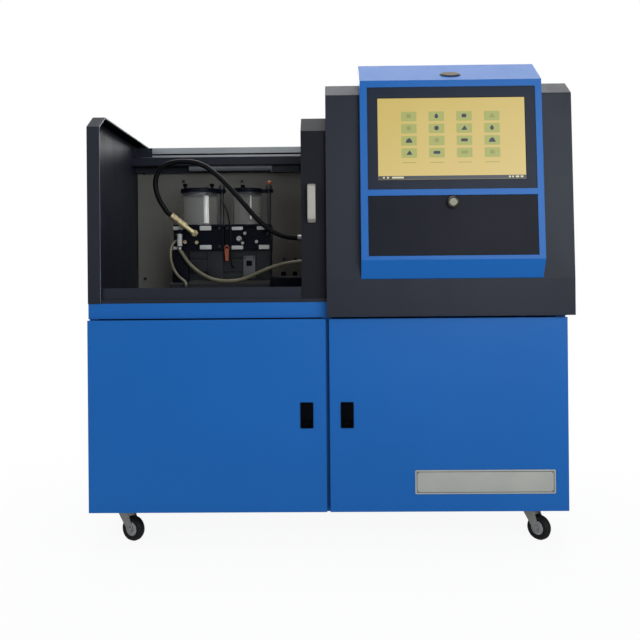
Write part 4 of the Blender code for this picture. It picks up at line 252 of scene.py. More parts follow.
def buildGlass():
    material, tree, shader = newMaterial("measuringGlass")
    runs = addNode(tree, "Mapping", {"Vector": objectPlace(tree), "Scale": (30.0, 30.0, 5.0)}).outputs[0]
    film = noise(tree, runs, 1.0, 5.0)
    filmMask = ranged(tree, film, .4, .7)
    edge = addNode(tree, "Group", {"Radius": .001, "Wear": 0.0}, node_tree=edgeGroup)
    bump = addNode(tree, "Bump", {
        "Height": film, "Distance": .0002, "Strength": .6, "Normal": edge.outputs["Normal"]})
    setInputs(tree, shader, {
        "Base Color": mixColors(tree, filmMask, (.985, .99, .99), (.92, .91, .88)),
        "Roughness": ranged(tree, filmMask, 0.0, 1.0, .04, .22), "Normal": bump.outputs[0],
        "Transmission Weight": .965, "IOR": 1.13})
    return material


finishes = {
    "blue_paint": makeFinish(
        "bluePaint", (.004, .112, .4), (.002, .09, .33), patch=1.6, mottle=.35, roughness=.36, grain=420,
        depth=.00012, wear=.35, under=(.07, .24, .58), dust=.03, smear=.18, specular=.27),
    "grey_paint": makeFinish(
        "darkGreyPaint", (.013, .0155, .026), (.008, .0095, .017), patch=1.3, roughness=.42, spread=.12,
        grain=700, depth=.0002, wear=.45, under=(.1, .11, .13), dust=.04, smear=.2, specular=.26),
    "panel_paint": makeFinish(
        "warmGreyPaint", (.165, .156, .138), (.12, .114, .103), patch=5, roughness=.5, spread=.12,
        grain=500, depth=.00015, wear=.3, under=(.22, .21, .19), dust=.2, smear=.3, specular=.25),
    "cast_grey": makeFinish(
        "castGrey", (.012, .0135, .017), (.007, .008, .01), patch=9, mottle=.6, roughness=.55, spread=.2,
        grain=260, depth=.0006, radius=.0018, wear=.6, under=(.2, .21, .21), dust=.3, specular=.25),
    "bright_steel": makeFinish(
        "zincSteel", (.42, .42, .41), (.26, .26, .25), patch=25, roughness=.34, spread=.25, grain=260,
        stretch=(1, 1, 6), depth=.00006, radius=.0008, wear=.5, under=(.6, .6, .6), dust=.25, metallic=.9),
    "black_steel": makeFinish(
        "blackSteel", (.012, .012, .015), (.02, .018, .017), patch=30, mottle=.4, roughness=.38,
        spread=.2, grain=800, radius=.0006, wear=.6, under=(.12, .12, .12), metallic=.3),
    "black_aluminium": makeFinish(
        "blackAnodised", (.003, .004, .008), (.006, .007, .013), patch=18, roughness=.36, spread=.15,
        grain=300, stretch=(1, 8, 8), depth=.00005, radius=.0009, wear=.7, under=(.08, .09, .11),
        dust=.02, metallic=.1, specular=.06),
    "bright_aluminium": makeFinish(
        "drawnAluminium", (.4, .42, .44), (.31, .33, .35), patch=6, mottle=.4, roughness=.32, spread=.2,
        grain=180, stretch=(.06, 6, 6), radius=.0006, under=(.8, .8, .8), dust=.2, metallic=.6),
    "chrome": makeFinish(
        "satinNickel", (.105, .098, .078), (.07, .066, .053), patch=40, mottle=.3, roughness=.34,
        spread=.12, grain=400, radius=.0005, wear=.2, under=(.8, .78, .75), dust=.05, metallic=1),
    "brass": makeFinish(
        "yellowZinc", (.56, .47, .27), (.4, .33, .2), patch=50, mottle=.6, roughness=.36, spread=.25,
        grain=400, radius=.0005, wear=.5, under=(.75, .7, .52), dust=.1, metallic=.75),
    "black_rubber": makeFinish(
        "blackRubber", (.0035, .0035, .0045), (.007, .007, .0075), patch=14, roughness=.42, spread=.2,
        grain=900, depth=.00008, wear=0, dust=.05, specular=.1),
    "wheel_rubber": makeFinish(
        "wheelRubber", (.004, .004, .005), (.01, .01, .0095), patch=22, roughness=.5, spread=.2,
        grain=500, depth=.0002, wear=.3, under=(.05, .05, .05), dust=.15, dustColor=(.16, .15, .13),
        specular=.2),
    "clear_hose": makeFinish(
        "oilyClearHose", (.24, .215, .15), (.15, .125, .062), patch=20, mottle=.6, roughness=.22,
        spread=.15, grain=200, depth=.00005, wear=0, dust=0, transmission=.35, ior=1.42, coat=.3,
        coatRoughness=.15),
    "ivory_plastic": makeFinish(
        "ivoryPlastic", (.37, .35, .31), (.31, .29, .25), patch=30, mottle=.4, roughness=.36, grain=900,
        radius=.0015, wear=.3, under=(.75, .73, .68)),
    "red_grip": makeFinish(
        "redGrip", (.34, .06, .02), (.22, .035, .013), patch=60, mottle=.6, roughness=.42, grain=700,
        depth=.0001, under=(.5, .16, .08)),
    "black_plastic": makeFinish(
        "blackPlastic", (.0015, .0016, .0025), (.003, .0035, .005), patch=10, mottle=.4, roughness=.42,
        spread=.12, grain=1100, depth=.00008, radius=.0008, wear=.3, under=(.04, .04, .045), dust=0,
        specular=.03),
    "lamp_white": makeFinish(
        "lampHousing", (.18, .19, .21), (.14, .15, .17), patch=12, mottle=.4, grain=300, wear=.2),
    "screen_glass": makeFinish(
        "screenFrame", (.02, .02, .024), (.03, .03, .034), mottle=.3, roughness=.3, wear=0),
    "clear_glass": buildGlass(),
}
ownFinishes = {
    "keyboard_lid": makeFinish(
        "lidPaint", (.0085, .0095, .0155), (.006, .007, .0115), patch=4, mottle=.3, roughness=.42,
        grain=700, depth=.00018, under=(.06, .07, .08), dust=.04, specular=.11),
    "sliding_cover": makeFinish(
        "coverPaint", (.0085, .0095, .014), (.0055, .006, .01), patch=1.5, roughness=.42, grain=700,
        depth=.0002, wear=.45, under=(.1, .11, .13), dust=.03, specular=.13),
    "screen_panel": makeFinish(
        "screenSurround", (.014, .019, .034), (.011, .015, .027), mottle=.3, roughness=.36, grain=900,
        wear=.2, under=(.05, .055, .07), dust=.02, specular=.13),
    "oil_tank": makeFinish(
        "tankPaint", (.075, .08, .086), (.05, .054, .06), patch=4, roughness=.46, grain=400,
        depth=.0002, wear=.5, under=(.2, .2, .2), dust=.3),
    "drive_motor": makeFinish(
        "motorPaint", (.085, .095, .105), (.055, .062, .07), patch=12, roughness=.5, grain=260,
        depth=.0004, wear=.5, under=(.22, .23, .24), dust=.4),
    "high_pressure_pump": makeFinish(
        "pumpCast", (.21, .21, .2), (.13, .13, .125), patch=16, mottle=.6, roughness=.48, spread=.2,
        grain=220, depth=.0006, wear=.6, under=(.4, .4, .4), dust=.3, metallic=.6),
}
for nodeName, node in nodes.items():
    for materialSlot in node.material_slots:
        packed = materialSlot.material.name.split(".")[0]
        materialSlot.material = ownFinishes[nodeName] if nodeName in ownFinishes else finishes[packed]
print("finishes on the packed pieces:", len(finishes) + len(ownFinishes))


# Hoses and cable: the same routes that the solids follow

def circle(around):
    return [(math.cos(2 * math.pi * k / around), math.sin(2 * math.pi * k / around)) for k in range(around)]


def smoothRoute(points, spacing):
    points = [Vector(point) for point in points]
    ends = [points[0] * 2 - points[1], *points, points[-1] * 2 - points[-2]]
    route = [ends[1]]
    for index in range(1, len(ends) - 2):
        before, start, end, after = ends[index - 1:index + 3]
        steps = max(1, round((end - start).length / spacing))
        for step in range(1, steps + 1):
            t = step / steps
            route.append(.5 * (2 * start + (end - before) * t
                               + (2 * before - 5 * start + 4 * end - after) * t ** 2
                               + (3 * start - before - 3 * end + after) * t ** 3))
    return route


def tubeAlong(name, route, radius, around, finish):
    bm = bmesh.new()
    uvLayer = bm.loops.layers.uv.new("alongHose")
    rings = []
    lengths = [0.0]
    side = None
    for index, point in enumerate(route):
        along = (route[min(index + 1, len(route) - 1)] - route[max(index - 1, 0)]).normalized()
        side = side or along.orthogonal().normalized()
        side = (side - along * side.dot(along)).normalized()
        other = along.cross(side)
        if index:
            lengths.append(lengths[-1] + (point - route[index - 1]).length)
        rings.append([bm.verts.new(point + radius * (side * c + other * s)) for c, s in circle(around)])
    for index, (first, second) in enumerate(zip(rings, rings[1:])):
        for k in range(around):
            after = (k + 1) % around
            face = bm.faces.new((first[k], first[after], second[after], second[k]))
            face.smooth = True
            for loop, (u, v) in zip(face.loops, ((k, 0), (k + 1, 0), (k + 1, 1), (k, 1))):
                loop[uvLayer].uv = (u / around * 2 * math.pi * radius, lengths[index + v])
    bm.faces.new(rings[0][::-1])
    bm.faces.new(rings[-1])
    mesh = bpy.data.meshes.new(name)
    bm.to_mesh(mesh)
    bm.free()
    return placeMesh(name, mesh, finishes[finish], "cabinet"), lengths[-1]


elbow = Vector((.262, .3305, .956))
ferruleWay = Vector((-.77, -.08, .62)).normalized()
hoseStart = elbow + ferruleWay * .0943
hoseRoutes = {
    "pressureHose": {
        "node": "pressure_hose", "radius": .0085, "finish": "black_rubber", "stiffness": "stiff",
        "around": 24, "points": [
            hoseStart, hoseStart + ferruleWay * .017, (.1665, .3195, 1.0395), (.151, .3165, 1.066),
            (.1405, .3135, 1.097), (.138, .311, 1.127), (.145, .309, 1.154), (.1605, .307, 1.175),
            (.183, .306, 1.188), (.209, .305, 1.1935), (.24, .304, 1.195), (.2715, .304, 1.1915),
            (.3025, .304, 1.181), (.3295, .304, 1.163), (.356, .305, 1.1405), (.382, .305, 1.114),
            (.408, .305, 1.0855), (.434, .305, 1.0555), (.46, .305, 1.024), (.486, .305, .995),
            (.512, .305, .971), (.5385, .305, .9535), (.565, .305, .9425), (.593, .305, .936),
            (.6232, .305, .934), (.6402, .305, .934)],
    },
    "drainHose": {
        "node": "drain_hose", "radius": .0062, "finish": "clear_hose", "stiffness": "medium",
        "around": 24, "points": [
            (.2145, .333, .9107), (.2145, .333, .8983), (.2215, .332, .889), (.239, .3305, .862),
            (.26, .329, .839), (.2865, .328, .818), (.318, .327, .8015), (.35, .326, .793),
            (.382, .326, .791), (.419, .326, .7945), (.456, .326, .807), (.493, .327, .823),
            (.53, .328, .837), (.5675, .329, .847), (.605, .33, .853), (.64, .33, .8565),
            (.6658, .33, .857), (.6782, .33, .857)],
    },
    "returnHose": {
        "node": "return_hose", "radius": .0048, "finish": "clear_hose", "stiffness": "medium",
        "around": 20, "points": [
            (.2117, .349, .93), (.2021, .349, .93), (.1935, .3475, .926), (.1855, .343, .914),
            (.182, .3405, .898), (.182, .338, .878), (.186, .334, .855), (.195, .328, .832),
            (.209, .321, .812), (.224, .315, .799), (.234, .3125, .792), (.2385, .312, .7839),
            (.2385, .312, .7743)],
    },
    "sensorCable": {
        "node": "sensor_cable", "radius": .0024, "finish": "black_rubber", "stiffness": "limp",
        "around": 12, "points": [
            (.35, .3952, 1.073), (.35, .3904, 1.073), (.353, .37, 1.067), (.362, .355, 1.056),
            (.3716, .345, 1.038), (.3805, .3375, 1.008), (.3875, .333, .97), (.389, .331, .935),
            (.388, .33, .905), (.388, .33, .878), (.3895, .333, .855), (.392, .344, .8405),
            (.393, .3669, .838), (.393, .3717, .838)],
    },
}
for hoseName, hose in hoseRoutes.items():
    radius = hose["radius"]
    line = smoothRoute([onCabinet(*point) for point in hose["points"]], radius * 1.2)
    hosePiece, hoseLength = tubeAlong(hoseName, line, radius, hose["around"], hose["finish"])
    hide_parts(hose["node"])
    print(hoseName, round(hoseLength, 3), "m long")
print("hoses and cable laid")


# Geometry Nodes trees for what repeats: screw heads, plates in a grid, a strip along a path

def newTree(name, sizes):
    ins = {"Geometry": "Geometry", **sizes, "Material": "Material"}
    return newGroup(name, "Geometry", ins, {"Geometry": "Geometry"})


def shape(tree, kind, inputs=None, **settings):
    return addNode(tree, "GeometryNode" + kind, inputs, **settings).outputs


def endTree(tree, made, given, result):
    plain = shape(tree, "RealizeInstances", {"Geometry": made})[0]
    dressed = shape(tree, "SetMaterial", {"Geometry": plain, "Material": given["Material"]})
    tree.links.new(dressed[0], result[0])
    return tree


def roundedQuad(tree, width, height, corner):
    quad = shape(tree, "CurvePrimitiveQuadrilateral", {"Width": width, "Height": height})[0]
    inputs = {"Curve": quad, "Radius": corner, "Count": 3, "Limit Radius": True}
    return shape(tree, "FilletCurve", inputs, mode="POLY")[0]


wholeTurn = 6.283


def buildScrewTree():
    tree, given, result = newTree("screwHeads", {
        "Head Radius": .004, "Head Height": .0025, "Top Share": .75, "Socket Radius": .0018,
        "Socket Depth": .0012, "Socket Sides": 6, "Head Sides": 20, "Seed": 3})
    head = shape(tree, "MeshCone", {
        "Vertices": given["Head Sides"], "Radius Bottom": given["Head Radius"],
        "Radius Top": calc(tree, "MULTIPLY", given["Head Radius"], given["Top Share"]),
        "Depth": given["Head Height"]})
    socket = shape(tree, "MeshCylinder", {
        "Vertices": given["Socket Sides"], "Radius": given["Socket Radius"],
        "Depth": calc(tree, "MULTIPLY", given["Socket Depth"], 2.0)})
    lift = addNode(tree, "CombineXYZ", {"Z": given["Head Height"]}).outputs[0]
    lifted = shape(tree, "Transform", {"Geometry": socket["Mesh"], "Translation": lift})[0]
    cutHead = shape(tree, "MeshBoolean", {"Mesh 1": head["Mesh"], "Mesh 2": lifted}, operation="DIFFERENCE")
    facing = shape(tree, "InputNamedAttribute", {"Name": "facing"}, data_type="FLOAT_VECTOR")[0]
    aim = addNode(tree, "FunctionNodeAlignRotationToVector", {"Vector": facing}, axis="Z").outputs[0]
    roll = addNode(tree, "FunctionNodeRandomValue", {"Seed": given["Seed"], 3: wholeTurn}, data_type="FLOAT")
    spin = addNode(tree, "CombineXYZ", {"Z": roll.outputs[1]}).outputs[0]
    turnBy = addNode(tree, "FunctionNodeEulerToRotation", {0: spin}).outputs[0]
    turned = addNode(tree, "FunctionNodeRotateRotation", {0: aim, 1: turnBy}, rotation_space="LOCAL")
    spread = shape(tree, "InstanceOnPoints", {
        "Points": given["Geometry"], "Instance": cutHead["Mesh"], "Rotation": turned.outputs[0]})
    return endTree(tree, spread[0], given, result)


def buildPlateTree():
    tree, given, result = newTree("platesInGrid", {
        "Across Count": 4, "Up Count": 4, "Across Pitch": .02, "Up Pitch": .02, "Plate Width": .016,
        "Plate Height": .016, "Corner": .002, "Thickness": .003, "Top Share": .85, "Place": (0, 0, 0),
        "Turn": (0, 0, 0)})
    outline = roundedQuad(tree, given["Plate Width"], given["Plate Height"], given["Corner"])
    filled = shape(tree, "FillCurve", {"Curve": outline}, mode="NGONS")[0]
    raised = shape(tree, "ExtrudeMesh", {
        "Mesh": filled, "Individual": False, "Offset Scale": given["Thickness"]}, mode="FACES")
    shrunk = shape(tree, "ScaleElements", {
        "Geometry": raised["Mesh"], "Selection": raised["Top"], "Scale": given["Top Share"]})[0]
    joined = addNode(tree, "GeometryNodeJoinGeometry")
    for part in (shape(tree, "FlipFaces", {"Mesh": filled})[0], shrunk):
        tree.links.new(part, joined.inputs[0])
    closed = shape(tree, "MergeByDistance", {"Geometry": joined.outputs[0], "Distance": .00001})[0]
    sides = {}
    for way, axis in (("Across", "X"), ("Up", "Y")):
        gaps = calc(tree, "SUBTRACT", given[way + " Count"], 1.0)
        sides["Size " + axis] = calc(tree, "MULTIPLY", gaps, given[way + " Pitch"])
        sides["Vertices " + axis] = given[way + " Count"]
    grid = shape(tree, "MeshGrid", sides)["Mesh"]
    spread = shape(tree, "InstanceOnPoints", {"Points": grid, "Instance": closed})[0]
    placed = shape(tree, "Transform", {
        "Geometry": spread, "Translation": given["Place"], "Rotation": given["Turn"]})
    return endTree(tree, placed[0], given, result)


def buildStripTree():
    sizes = {"Strip Width": .006, "Strip Height": .004, "Corner": .001}
    tree, given, result = newTree("stripAlongPath", sizes)
    line = shape(tree, "MeshToCurve", {"Mesh": given["Geometry"]})[0]
    section = roundedQuad(tree, given["Strip Width"], given["Strip Height"], given["Corner"])
    swept = shape(tree, "CurveToMesh", {"Curve": line, "Profile Curve": section, "Fill Caps": True})
    return endTree(tree, swept[0], given, result)


def growPiece(name, tree, slotName, sizes, material=None, body="cabinet", smoothAngle=0, start=None):
    material = material or finishes[slotName]
    holder = linkObject(name, start or bpy.data.meshes.new("start"))
    grow = holder.modifiers.new("grow", "NODES")
    grow.node_group = tree
    known = {item.name: item.identifier for item in tree.interface.items_tree if item.in_out == "INPUT"}
    for key, value in {**sizes, "material": material}.items():
        grow[known[spaced(key)]] = value
    bpy.context.view_layer.update()
    graph = bpy.context.evaluated_depsgraph_get()
    mesh = bpy.data.meshes.new_from_object(holder.evaluated_get(graph))
    mesh.name = name
    holder.modifiers.remove(grow)
    bpy.data.objects.remove(holder, do_unlink=True)
    if smoothAngle:
        mesh.shade_smooth()
        mesh.set_sharp_from_angle(angle=math.radians(smoothAngle))
    placeMesh(name, mesh, material, body)


screwTree = buildScrewTree()
plateTree = buildPlateTree()
stripTree = buildStripTree()
print("trees for repeats built")

screwLook = {
    # slot, the head's radius, height and share at its top, the socket's radius and depth,
    # and where they aren't 20 and 6, the sides of the head and of the socket
    "nameplateRivets": ("bright_steel", .0026, .0013, .6, .0005, .0001),
    "manifoldBrassPlugs": ("brass", .0066, .0075, .94, .003, .003, 6),
    "manifoldSteelPlugs": ("bright_steel", .0062, .006, .9, .003, .003, 6),
    "manifoldCoupling": ("bright_steel", .0098, .014, .7, .004, .006, 12),
    "manifoldCapScrews": ("black_steel", .0046, .0042, .92, .0022, .002),
    "rearCoverScrews": ("bright_steel", .0045, .0026, .7, .002, .0014),
    "casterPlateBolts": ("bright_steel", .0062, .0042, .97, .001, .0002, 6),
    "backPanelScrews": ("black_steel", .0058, .0045, .9, .0026, .002),
    "bedScrews": ("black_steel", .0032, .0026, .9, .0015, .0014),
    "tankGaugeBolts": ("bright_steel", .0075, .005, .9, .0034, .003, 6),
    "tankPlug": ("brass", .012, .009, .9, .004, .003, 6),
    "terminalBoxScrews": ("bright_steel", .0036, .0024, .8, .0016, .0012),
    "pumpHeadNuts": ("bright_steel", .0135, .011, .94, .006, .005, 6, 20),
    "controlBoxScrews": ("bright_steel", .0055, .003, .7, .0024, .0018),
}
screwSizes = (
    "headRadius", "headHeight", "topShare", "socketRadius", "socketDepth", "headSides", "socketSides")


def addScrews(name, places, material=None, body="cabinet"):
    # each place is a point on a face and the way that the face looks
    mesh = bpy.data.meshes.new(name)
    mesh.from_pydata([tuple(place) for place, facing in places], [], [])
    facingLayer = mesh.attributes.new("facing", "FLOAT_VECTOR", "POINT")
    for index, (place, facing) in enumerate(places):
        facingLayer.data[index].vector = facing
    slotName, *sizes = screwLook[name]
    growPiece(name, screwTree, slotName, dict(zip(screwSizes, sizes)), material, body, 35, mesh)


def onFront(face, *spots):
    return [(onCabinet(x, face, z), frontWay) for x, z in spots]


def rounded(width, height, corner, steps=4):
    points = []
    for cornerX, cornerY, first in ((1, 1, 0), (-1, 1, 90), (-1, -1, 180), (1, -1, 270)):
        for step in range(steps + 1):
            angle = math.radians(first + 90 * step / steps)
            points.append((cornerX * (width / 2 - corner) + corner * math.cos(angle),
                           cornerY * (height / 2 - corner) + corner * math.sin(angle)))
    return points


def oval(width, height, steps=40):
    return [(width / 2 * c, height / 2 * s) for c, s in circle(steps)]


def joinRings(bm, first, second, around):
    # a ring of one point closes the shape with triangles
    for k in range(around):
        after = k + 1
        corners = (first[k % len(first)], first[after % len(first)],
                   second[after % len(second)], second[k % len(second)])
        corners = list(dict.fromkeys(corners))
        if len(corners) > 2:
            bm.faces.new(corners)


def addSlab(bm, outline, origin, up, low, high, edge=0.0):
    # low and high are depths along the way that the outline faces
    out = acrossWay.cross(up)
    lowRing, highRing = ([bm.verts.new(origin + acrossWay * a + up * b + out * depth) for a, b in outline]
                         for depth in (low, high))
    top = bm.faces.new(highRing)
    bm.faces.new(lowRing[::-1])
    joinRings(bm, lowRing, highRing, len(outline))
    if edge:
        bmesh.ops.bevel(bm, geom=list(top.edges), offset=edge, segments=2, affect="EDGES", profile=.6)


def addBlock(bm, low, high):
    low = onCabinet(*low)
    size = onCabinet(*high) - low
    addSlab(bm, [(0, 0), (size.x, 0), (size.x, size.y), (0, size.y)], low, rearWay, 0, size.z)


def addPlate(bm, left, right, low, high, face, thick, corner=.001, edge=.0005, steps=2):
    middle = onCabinet((left + right) / 2, face, (low + high) / 2)
    addSlab(bm, rounded(right - left, high - low, corner, steps), middle, upWay, -.0002, thick, edge)


def addTurned(bm, profile, origin, axis=upWay, around=24):
    # the profile is pairs of radius and height; it starts and ends on the axis, or closes on itself
    turn = upWay.rotation_difference(Vector(axis).normalized()).to_matrix()
    rings = [[bm.verts.new(origin + turn @ Vector((radius * c, radius * s, height)))
              for c, s in circle(around if radius else 1)] for radius, height in profile]
    if profile[0][0] and profile[-1][0]:
        rings.append(rings[0])
    for first, second in zip(rings, rings[1:]):
        joinRings(bm, first, second, around)


def addPiece(name, slotName, addPart, parts, material=None, body="cabinet"):
    bm = bmesh.new()
    for part in parts:
        addPart(bm, *part)
    bmesh.ops.recalc_face_normals(bm, faces=bm.faces)
    mesh = bpy.data.meshes.new(name)
    bm.to_mesh(mesh)
    bm.free()
    mesh.shade_smooth()
    mesh.set_sharp_from_angle(angle=math.radians(30))
    placeMesh(name, mesh, material or finishes[slotName], body)


def turnedPiece(name, slotName, profile, around, places, material=None):
    parts = [(profile, onCabinet(*place), upWay, around) for place in places]
    addPiece(name, slotName, addTurned, parts, material)


# Console: the picture on the display, its tiles and marks, keys behind the lid, badge plate on the brow

consoleFace = {
    "middle": 1.085, "front": -.0546, "foot": .8507, "brow": -.0181, "browZ": 1.3795, "crown": .082,
    "crownZ": 1.4496,
}
consoleUp = Vector((0, consoleFace["brow"] - consoleFace["front"],
                    consoleFace["browZ"] - consoleFace["foot"])).normalized()
consoleOut = Vector((0, -consoleUp.z, consoleUp.y))
consoleTilt = math.atan2(consoleUp.z, consoleUp.y)


def onConsole(across, up, out):
    foot = onCabinet(consoleFace["middle"] + across, consoleFace["front"], consoleFace["foot"])
    return foot + consoleUp * up + consoleOut * out


def consoleReach(nodeName, pick):
    return pick((vertex.co - onConsole(0, 0, 0)).dot(consoleOut) for vertex in nodes[nodeName].data.vertices)


displayFront = consoleReach("monitor", max)
screen = {
    "width": .4305, "height": .2415, "up": .356, "depths": (.00005, .00035), "tileAcross": (-.124, .119),
    "tileUp": (.3137, .4223), "tileDepth": .0004, "markScale": .92, "markRise": .001,
    "markDepths": (.00062, .00075), "captionDrop": .0285, "barRise": .0056, "barDepths": (.0004, .0005),
    "barMarkDepths": (.00055, .00065),
}
litLooks = {
    # two colours for each, between which the light drifts
    "displayPicture": ((.6, .455, .11), (.7, .535, .185)),
    "displayTile": ((.375, .4, .105), (.3975, .424, .1113)),
    "displayMark": ((.018, .02, .035), (.0288, .032, .056)),
    "displayPaleMark": ((.27, .29, .075), (.297, .319, .0825)),
    "displayBar": ((.03, .033, .04), (.045, .0495, .06)),
    "displayBarLight": ((.62, .6, .38), (.682, .66, .418)),
}


def litFinish(name, first, second):
    material, tree, shader = newMaterial(name)
    place = objectPlace(tree)
    axes = addNode(tree, "SeparateXYZ", {"Vector": place}).outputs
    drift = noise(tree, place, 5.0, 2.0)
    side = ranged(tree, axes["X"], .14, .6, 0.0, .5)
    low = ranged(tree, axes["Z"], 1.3, 1.08, 0.0, .6)
    wander = calc(tree, "MULTIPLY", calc(tree, "SUBTRACT", drift, .5), .5)
    glow = calc(tree, "ADD", calc(tree, "ADD", side, low), wander, clamp=True)
    grain = addNode(tree, "Group", {"Roughness": .28, "Spread": .08, "Grain": 900.0}, node_tree=grainGroup)
    setInputs(tree, shader, {
        "Emission Color": mixColors(tree, glow, first, second), "Emission Strength": .93,
        "Base Color": mixColors(tree, drift, (.012, .012, .014), (.02, .02, .022)),
        "Roughness": grain.outputs["Roughness"], "Specular IOR Level": .2})
    return material


litFinishes = {name: litFinish(name, *colors) for name, colors in litLooks.items()}


def screenPiece(name, litName, parts):
    # each part is an outline, its place across and up, and its depths in front of the display
    slabs = [(outline, onConsole(across, up, displayFront), consoleUp, *depths)
             for outline, across, up, depths in parts]
    addPiece(name, "screen_glass", addSlab, slabs, litFinishes[litName])


leftTile, rightTile = screen["tileAcross"]
lowTile, highTile = screen["tileUp"]
tileLook = {
    "acrossCount": 4, "upCount": 4, "acrossPitch": (rightTile - leftTile) / 3,
    "upPitch": (highTile - lowTile) / 3, "plateWidth": .0455, "plateHeight": .0285, "corner": .0025,
    "thickness": .0002, "topShare": .99, "turn": (consoleTilt, 0.0, 0.0),
    "place": onConsole((leftTile + rightTile) / 2, (lowTile + highTile) / 2, displayFront)
    + consoleOut * screen["tileDepth"],
}
screenPiece("displayPicture", "displayPicture", [
    (rounded(screen["width"], screen["height"], .001, 1), 0, screen["up"], screen["depths"])])
growPiece("displayTiles", plateTree, "screen_glass", tileLook, litFinishes["displayTile"])
markShapes = {
    "drop": [(-.004, .004), (-.0062, -.001), (-.0045, -.0065), (0, -.0082), (.0045, -.0065), (.0062, -.001),
             (.004, .004), (0, .0085)],
    "block": rounded(.015, .012, .003),
    "wide": rounded(.022, .01, .004),
    "peak": [(-.0095, -.007), (.0095, -.007), (.006, .001), (.001, .0075), (-.003, .002)],
    "disc": oval(.015, .015, 20),
    "heap": [(-.011, -.0075), (.011, -.0075), (.0085, 0), (.003, .0075), (-.003, .0065), (-.0085, .001)],
}
markRows = (  # the marks with a plus are pale
    "+block drop block +peak", "+disc disc peak drop", "heap +disc wide heap", "peak wide +wide +block")
tileLefts = [leftTile + column * tileLook["acrossPitch"] for column in range(4)]
darkParts, paleParts = [], []
for row, marks in enumerate(markRows):
    markUp = highTile - row * tileLook["upPitch"] + screen["markRise"]
    for across, mark in zip(tileLefts, marks.split()):
        shrunk = [(screen["markScale"] * a, screen["markScale"] * b) for a, b in markShapes[mark.strip("+")]]
        parts = paleParts if "+" in mark else darkParts
        parts.append((shrunk, across, markUp, screen["markDepths"]))
caption = rounded(.04, .0018, .0005, 1)
captionUp = lowTile - screen["captionDrop"]
paleParts += [(caption, across, captionUp, screen["barDepths"]) for across in tileLefts]
screenPiece("displayMarksDark", "displayMark", darkParts)
screenPiece("displayMarksPale", "displayPaleMark", paleParts)
barUp = screen["up"] - screen["height"] / 2 + screen["barRise"]
screenPiece("displayBar", "displayBar", [
    (rounded(screen["width"] - .0004, .0106, .0008, 1), 0, barUp, screen["barDepths"])])
barMarks = (  # place and width
    (-.158, .034), (-.187, .006), (-.199, .005), (.19, .01), (.203, .008), (.168, .006), (.177, .005))
screenPiece("displayBarMarks", "displayBarLight", [
    (rounded(width, .0052, .001, 2), across, barUp + .0005, screen["barMarkDepths"])
    for across, width in barMarks])
print("display lit")

keyLook = {
    "acrossCount": 17, "upCount": 5, "acrossPitch": .0247, "upPitch": .0222, "plateWidth": .0212,
    "plateHeight": .0172, "corner": .0025, "thickness": .0022, "topShare": .84,
    "place": onConsole(0, .085, consoleReach("keyboard", min) + .0002),
    "turn": (consoleTilt + math.pi, 0, 0),
}
growPiece("keyCaps", plateTree, "black_plastic", keyLook, body="keyboard_lid", smoothAngle=40)

badge = {"across": 1.0895, "share": .34, "width": .062, "height": .034, "faceWidth": .86, "faceHeight": .8}
badgeFinish = makeFinish(
    "badgeBronze", (.06, .052, .04), (.1, .085, .06), patch=90, mottle=.8, roughness=.5, metallic=.5,
    wear=.3, specular=.3)
browLow = Vector((0, consoleFace["brow"], consoleFace["browZ"]))
browHigh = Vector((0, consoleFace["crown"], consoleFace["crownZ"]))
browUp = (browHigh - browLow).normalized()
browSpot = browLow.lerp(browHigh, badge["share"])
badgeMiddle = onCabinet(badge["across"], browSpot.y, browSpot.z)
rim = oval(badge["width"], badge["height"])
face = oval(badge["width"] * badge["faceWidth"], badge["height"] * badge["faceHeight"])
addPiece("badgeRim", "black_steel", addSlab, [(rim, badgeMiddle, browUp, 0.0, .0022, .0008)])
addPiece("badgeFace", "brass", addSlab, [(face, badgeMiddle, browUp, .0021, .0034, .0006)], badgeFinish)
print("console dressed")


# Right door: bare nameplate on four rivets

plate = {
    "left": .973, "right": 1.388, "low": .157, "high": .228, "thick": .0012, "inset": .0045,
    "border": .0016, "borderDepths": (.00115, .00135), "rivetInset": .0085,
}
plateFinish = makeFinish(
    "nameplateFace", (.38, .38, .34), (.31, .31, .28), patch=9, roughness=.36, grain=160,
    stretch=(.05, 1, 6), depth=.00003, wear=.3, specular=.3, dust=.05)
borderFinish = makeFinish(
    "nameplateBorder", (.07, .07, .065), (.04, .04, .038), mottle=.3, roughness=.45, wear=.1, specular=.2)
plateMiddle = onCabinet((plate["left"] + plate["right"]) / 2, 0.0, (plate["low"] + plate["high"]) / 2)
plateWidth = plate["right"] - plate["left"]
plateHeight = plate["high"] - plate["low"]


def addPlateBorder(bm, low, high):
    outer, inner = (rounded(plateWidth - inset * 2, plateHeight - inset * 2, corner)
                    for inset, corner in ((plate["inset"], .003), (plate["inset"] + plate["border"], .002)))
    rings = [[bm.verts.new(plateMiddle + acrossWay * a + upWay * b + frontWay * depth) for a, b in outline]
             for outline, depth in ((outer, low), (outer, high), (inner, high), (inner, low))]
    for first, second in zip(rings, rings[1:] + rings[:1]):
        joinRings(bm, first, second, len(outer))


plateSlab = (rounded(plateWidth, plateHeight, .004), plateMiddle, upWay, .0001, plate["thick"], .0004)
addPiece("nameplate", "ivory_plastic", addSlab, [plateSlab], plateFinish, "right_door")
addPiece("nameplateBorder", "black_plastic", addPlateBorder, [plate["borderDepths"]], borderFinish,
         "right_door")
rivetAcross = plateWidth / 2 - plate["rivetInset"]
rivetUp = plateHeight / 2 - plate["rivetInset"]
addScrews("nameplateRivets", [
    (plateMiddle + acrossWay * a * rivetAcross + upWay * b * rivetUp + frontWay * plate["thick"], frontWay)
    for a in (-1, 1) for b in (-1, 1)], body="right_door")
print("nameplate on the right door")


# Bay: tabs, plugs and small fittings on the manifolds, knobs on the caps, tubes in the glasses

